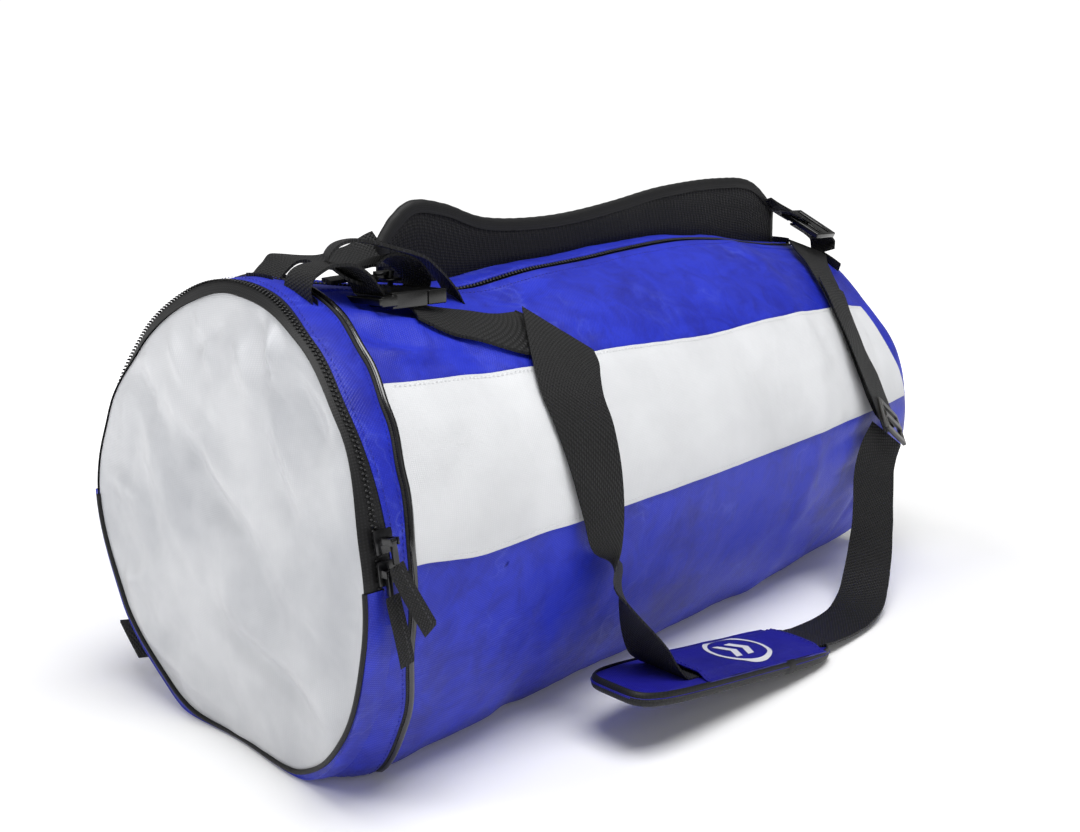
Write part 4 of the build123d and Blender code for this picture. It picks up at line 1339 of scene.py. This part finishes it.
def strap_spot(s, t):
    """Middle of the padded strap: s along it, t up it, with its lean and slight waves."""
    q = min(238.999, max(0.0, s * 239))
    i = int(q)
    top = STRAP_LINE[i].lerp(STRAP_LINE[i + 1], q - i)
    x = top.x
    y = 18.0 - 21.0 * (x + 181) / 481
    floor = skin(x, 90 + (y / BARREL_R) * 57.3).z - 1.0
    low = max(top.z - 56, min(floor, top.z - 12))
    z = span(low, top.z, t)
    wave = 2.2 * noise.noise(Vector((x / 70, z / 60, 7.7))) * t
    return Vector((x, y + wave, z))


def padded_strap():
    half = 4.0

    def place(s, t):
        # t runs up the front face, over the top and down the back.
        fold = abs(2 * t - 1)
        side = 1 if t > 0.5 else -1
        up = 1 - fold
        p = strap_spot(s, up)
        puff = half * min(1.0, (0.25 + 2.2 * (1 - up)) ** 0.5) * (1 - 0.35 * hump(up, 0, 0.12))
        slant = p.x + (p.z - 320) * 0.30
        rib = 0.55 * (0.5 + 0.5 * math.cos(2 * math.pi * slant / 4.4))
        ends = ease(s, 0, 0.02) * (1 - ease(s, 0.985, 1.0))
        return p + Vector((0, side * ((puff + rib) * (0.3 + 0.7 * ends)), 0))
    piece = cloth("padded_strap_body", MESH, place, 520, 46, (STRAP_LENGTH, 110), 0, sharp=50)
    finish(piece, "padded_strap", "mesh_padding", "padded_strap")


def padded_strap_rim():
    def path(s):
        """Round the strap: up its near end, along the top and down the far end."""
        if s < 0.05:
            return strap_spot(0.0, s / 0.05), Vector((-1, 0, 0.2))
        if s > 0.96:
            return strap_spot(1.0, 1 - (s - 0.96) / 0.04), Vector((1, 0, 0.2))
        k = (s - 0.05) / 0.91
        p, q = strap_spot(k, 1), strap_spot(min(1, k + 0.01), 1)
        way = (q - p).normalized() if (q - p).length > 1e-5 else Vector((1, 0, -0.5))
        return p, Vector((-way.z, 0, way.x))

    def place(s, t):
        p, out = path(s)
        out = out.normalized()
        turn = math.pi * (t - 0.5)
        pucker = 0.1 * math.sin(s * 320) * math.cos(turn)
        deep = (1 - math.cos(turn)) * 8.5
        return p + out * (1.6 - deep + pucker) + Vector((0, math.sin(turn) * (4.3 + 0.5 * math.cos(turn)), 0))
    piece = cloth("padded_strap_rim", BINDING, place, 300, 14, (560, 26), 0.9)
    finish(piece, "padded_strap", "binding", "padded_strap_binding")


def padded_strap_tails():
    near = (((-293, -4, 293), (-0.7, 0, 0.7)), ((-290, -4, 299), (-0.6, -0.1, 0.8)),
            ((-279, -3, 308), (-0.5, -0.1, 0.86)),
            ((-268, 0, 312), (0.1, -0.1, 1)), ((-252, 6, 309), (0.2, -0.2, 1)), ((-225, 14, 306), (0, -0.3, 1)),
            ((-200, 18, 308), (0, -0.5, 1)), ((-176, 18.2, 313), (0, -0.8, 0.6)))
    finish(strap("padded_strap_tail_near", WEBBING, *split(near), 26.0, WEB_T, 2.5),
           "padded_strap", "webbing", "padded_strap_ends")
    far = [(285, -6, 338), (296, -14, 330), (306, -24, 322)]
    finish(strap("padded_strap_tail_far", WEBBING, [Vector(p) for p in far], [Vector((0.7, -0.2, 0.7))] * 3, 20.0,
                 2.0, 3.0),
           "padded_strap", "webbing")


padded_strap()
padded_strap_rim()
padded_strap_tails()


# ---------------------------------------------------------------- inside
for node, mat in (("pocket_partition", LINING), ("base_board", BOARD)):
    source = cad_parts[node]
    source.data.materials.clear()
    source.data.materials.append(mat)
    for polygon in source.data.polygons:
        polygon.material_index = 0


# ---------------------------------------------------------------- floor, light and camera
def stage_material():
    mat, tree, shader = start("studio_paper_white", 0.9)
    paint(tree, shader, ramp(tree, noise_fac(tree, object_coord(tree), 3.0),
                             [(0.3, tint("#FBFBFC")), (0.7, tint("#FFFFFF"))]))
    shader.inputs["Emission Color"].default_value = (1, 1, 1, 1)
    away = add(tree, "ShaderNodeVectorMath", {0: object_coord(tree)}, operation="LENGTH").outputs["Value"]
    glow = add(tree, "ShaderNodeMapRange", {"Value": away, "From Min": 0.45, "From Max": 1.1, "To Min": 0.04,
                                            "To Max": 0.95})
    tree.links.new(glow.outputs["Result"], shader.inputs["Emission Strength"])
    return mat


bm = bmesh.new()
bmesh.ops.create_grid(bm, x_segments=8, y_segments=8, size=6.0)
floor = to_object("studio_floor", bm, stage_material(), 0)


def area_light(name, spot, aim, size, power):
    light = bpy.data.lights.new(name, "AREA")
    light.shape = "RECTANGLE"
    light.size, light.size_y = size
    light.energy = power
    holder = bpy.data.objects.new(name, light)
    holder.location = spot
    holder.rotation_euler = (Vector(aim) - Vector(spot)).to_track_quat("-Z", "Y").to_euler()
    bpy.context.scene.collection.objects.link(holder)


area_light("softbox_top", (-0.25, -0.5, 2.0), (0, 0, 0.15), (1.4, 1.1), 37)
area_light("softbox_left", (-1.5, 0.5, 1.5), (-0.3, 0, 0.15), (0.5, 0.9), 9)
area_light("softbox_front", (-0.3, -2.2, 1.3), (0, 0, 0.1), (1.8, 1.2), 3)

# The world lights the bag softly; the camera sees it as plain white.
WORLD_LIGHT, WORLD_SEEN = 0.22, 1.05
world = bpy.data.worlds.new("studio_white")
world.use_nodes = True
tree = world.node_tree
seen = add(tree, "ShaderNodeLightPath").outputs["Is Camera Ray"]
level = add(tree, "ShaderNodeMapRange", {"Value": seen, "To Min": WORLD_LIGHT, "To Max": WORLD_SEEN})
tree.nodes["Background"].inputs["Color"].default_value = (1, 1, 1, 1)
tree.links.new(level.outputs["Result"], tree.nodes["Background"].inputs["Strength"])
bpy.context.scene.world = world

CAMERA_SPOT = (-0.6851, -0.5930, 0.3617)
lens = bpy.data.cameras.new("camera")
lens.lens = 37.55
lens.sensor_width = 36.0
camera = bpy.data.objects.new("camera", lens)
right = Vector((0.67343, -0.73925, 0.0))
upward = Vector((0.15561, 0.14175, 0.97759))
back = Vector((-0.72269, -0.65834, 0.21050))
turn = Matrix((right, upward, back)).transposed().to_4x4()
camera.matrix_world = Matrix.Translation(CAMERA_SPOT) @ turn
bpy.context.scene.collection.objects.link(camera)
bpy.context.scene.camera = camera
bpy.context.scene.view_settings.view_transform = "Standard"
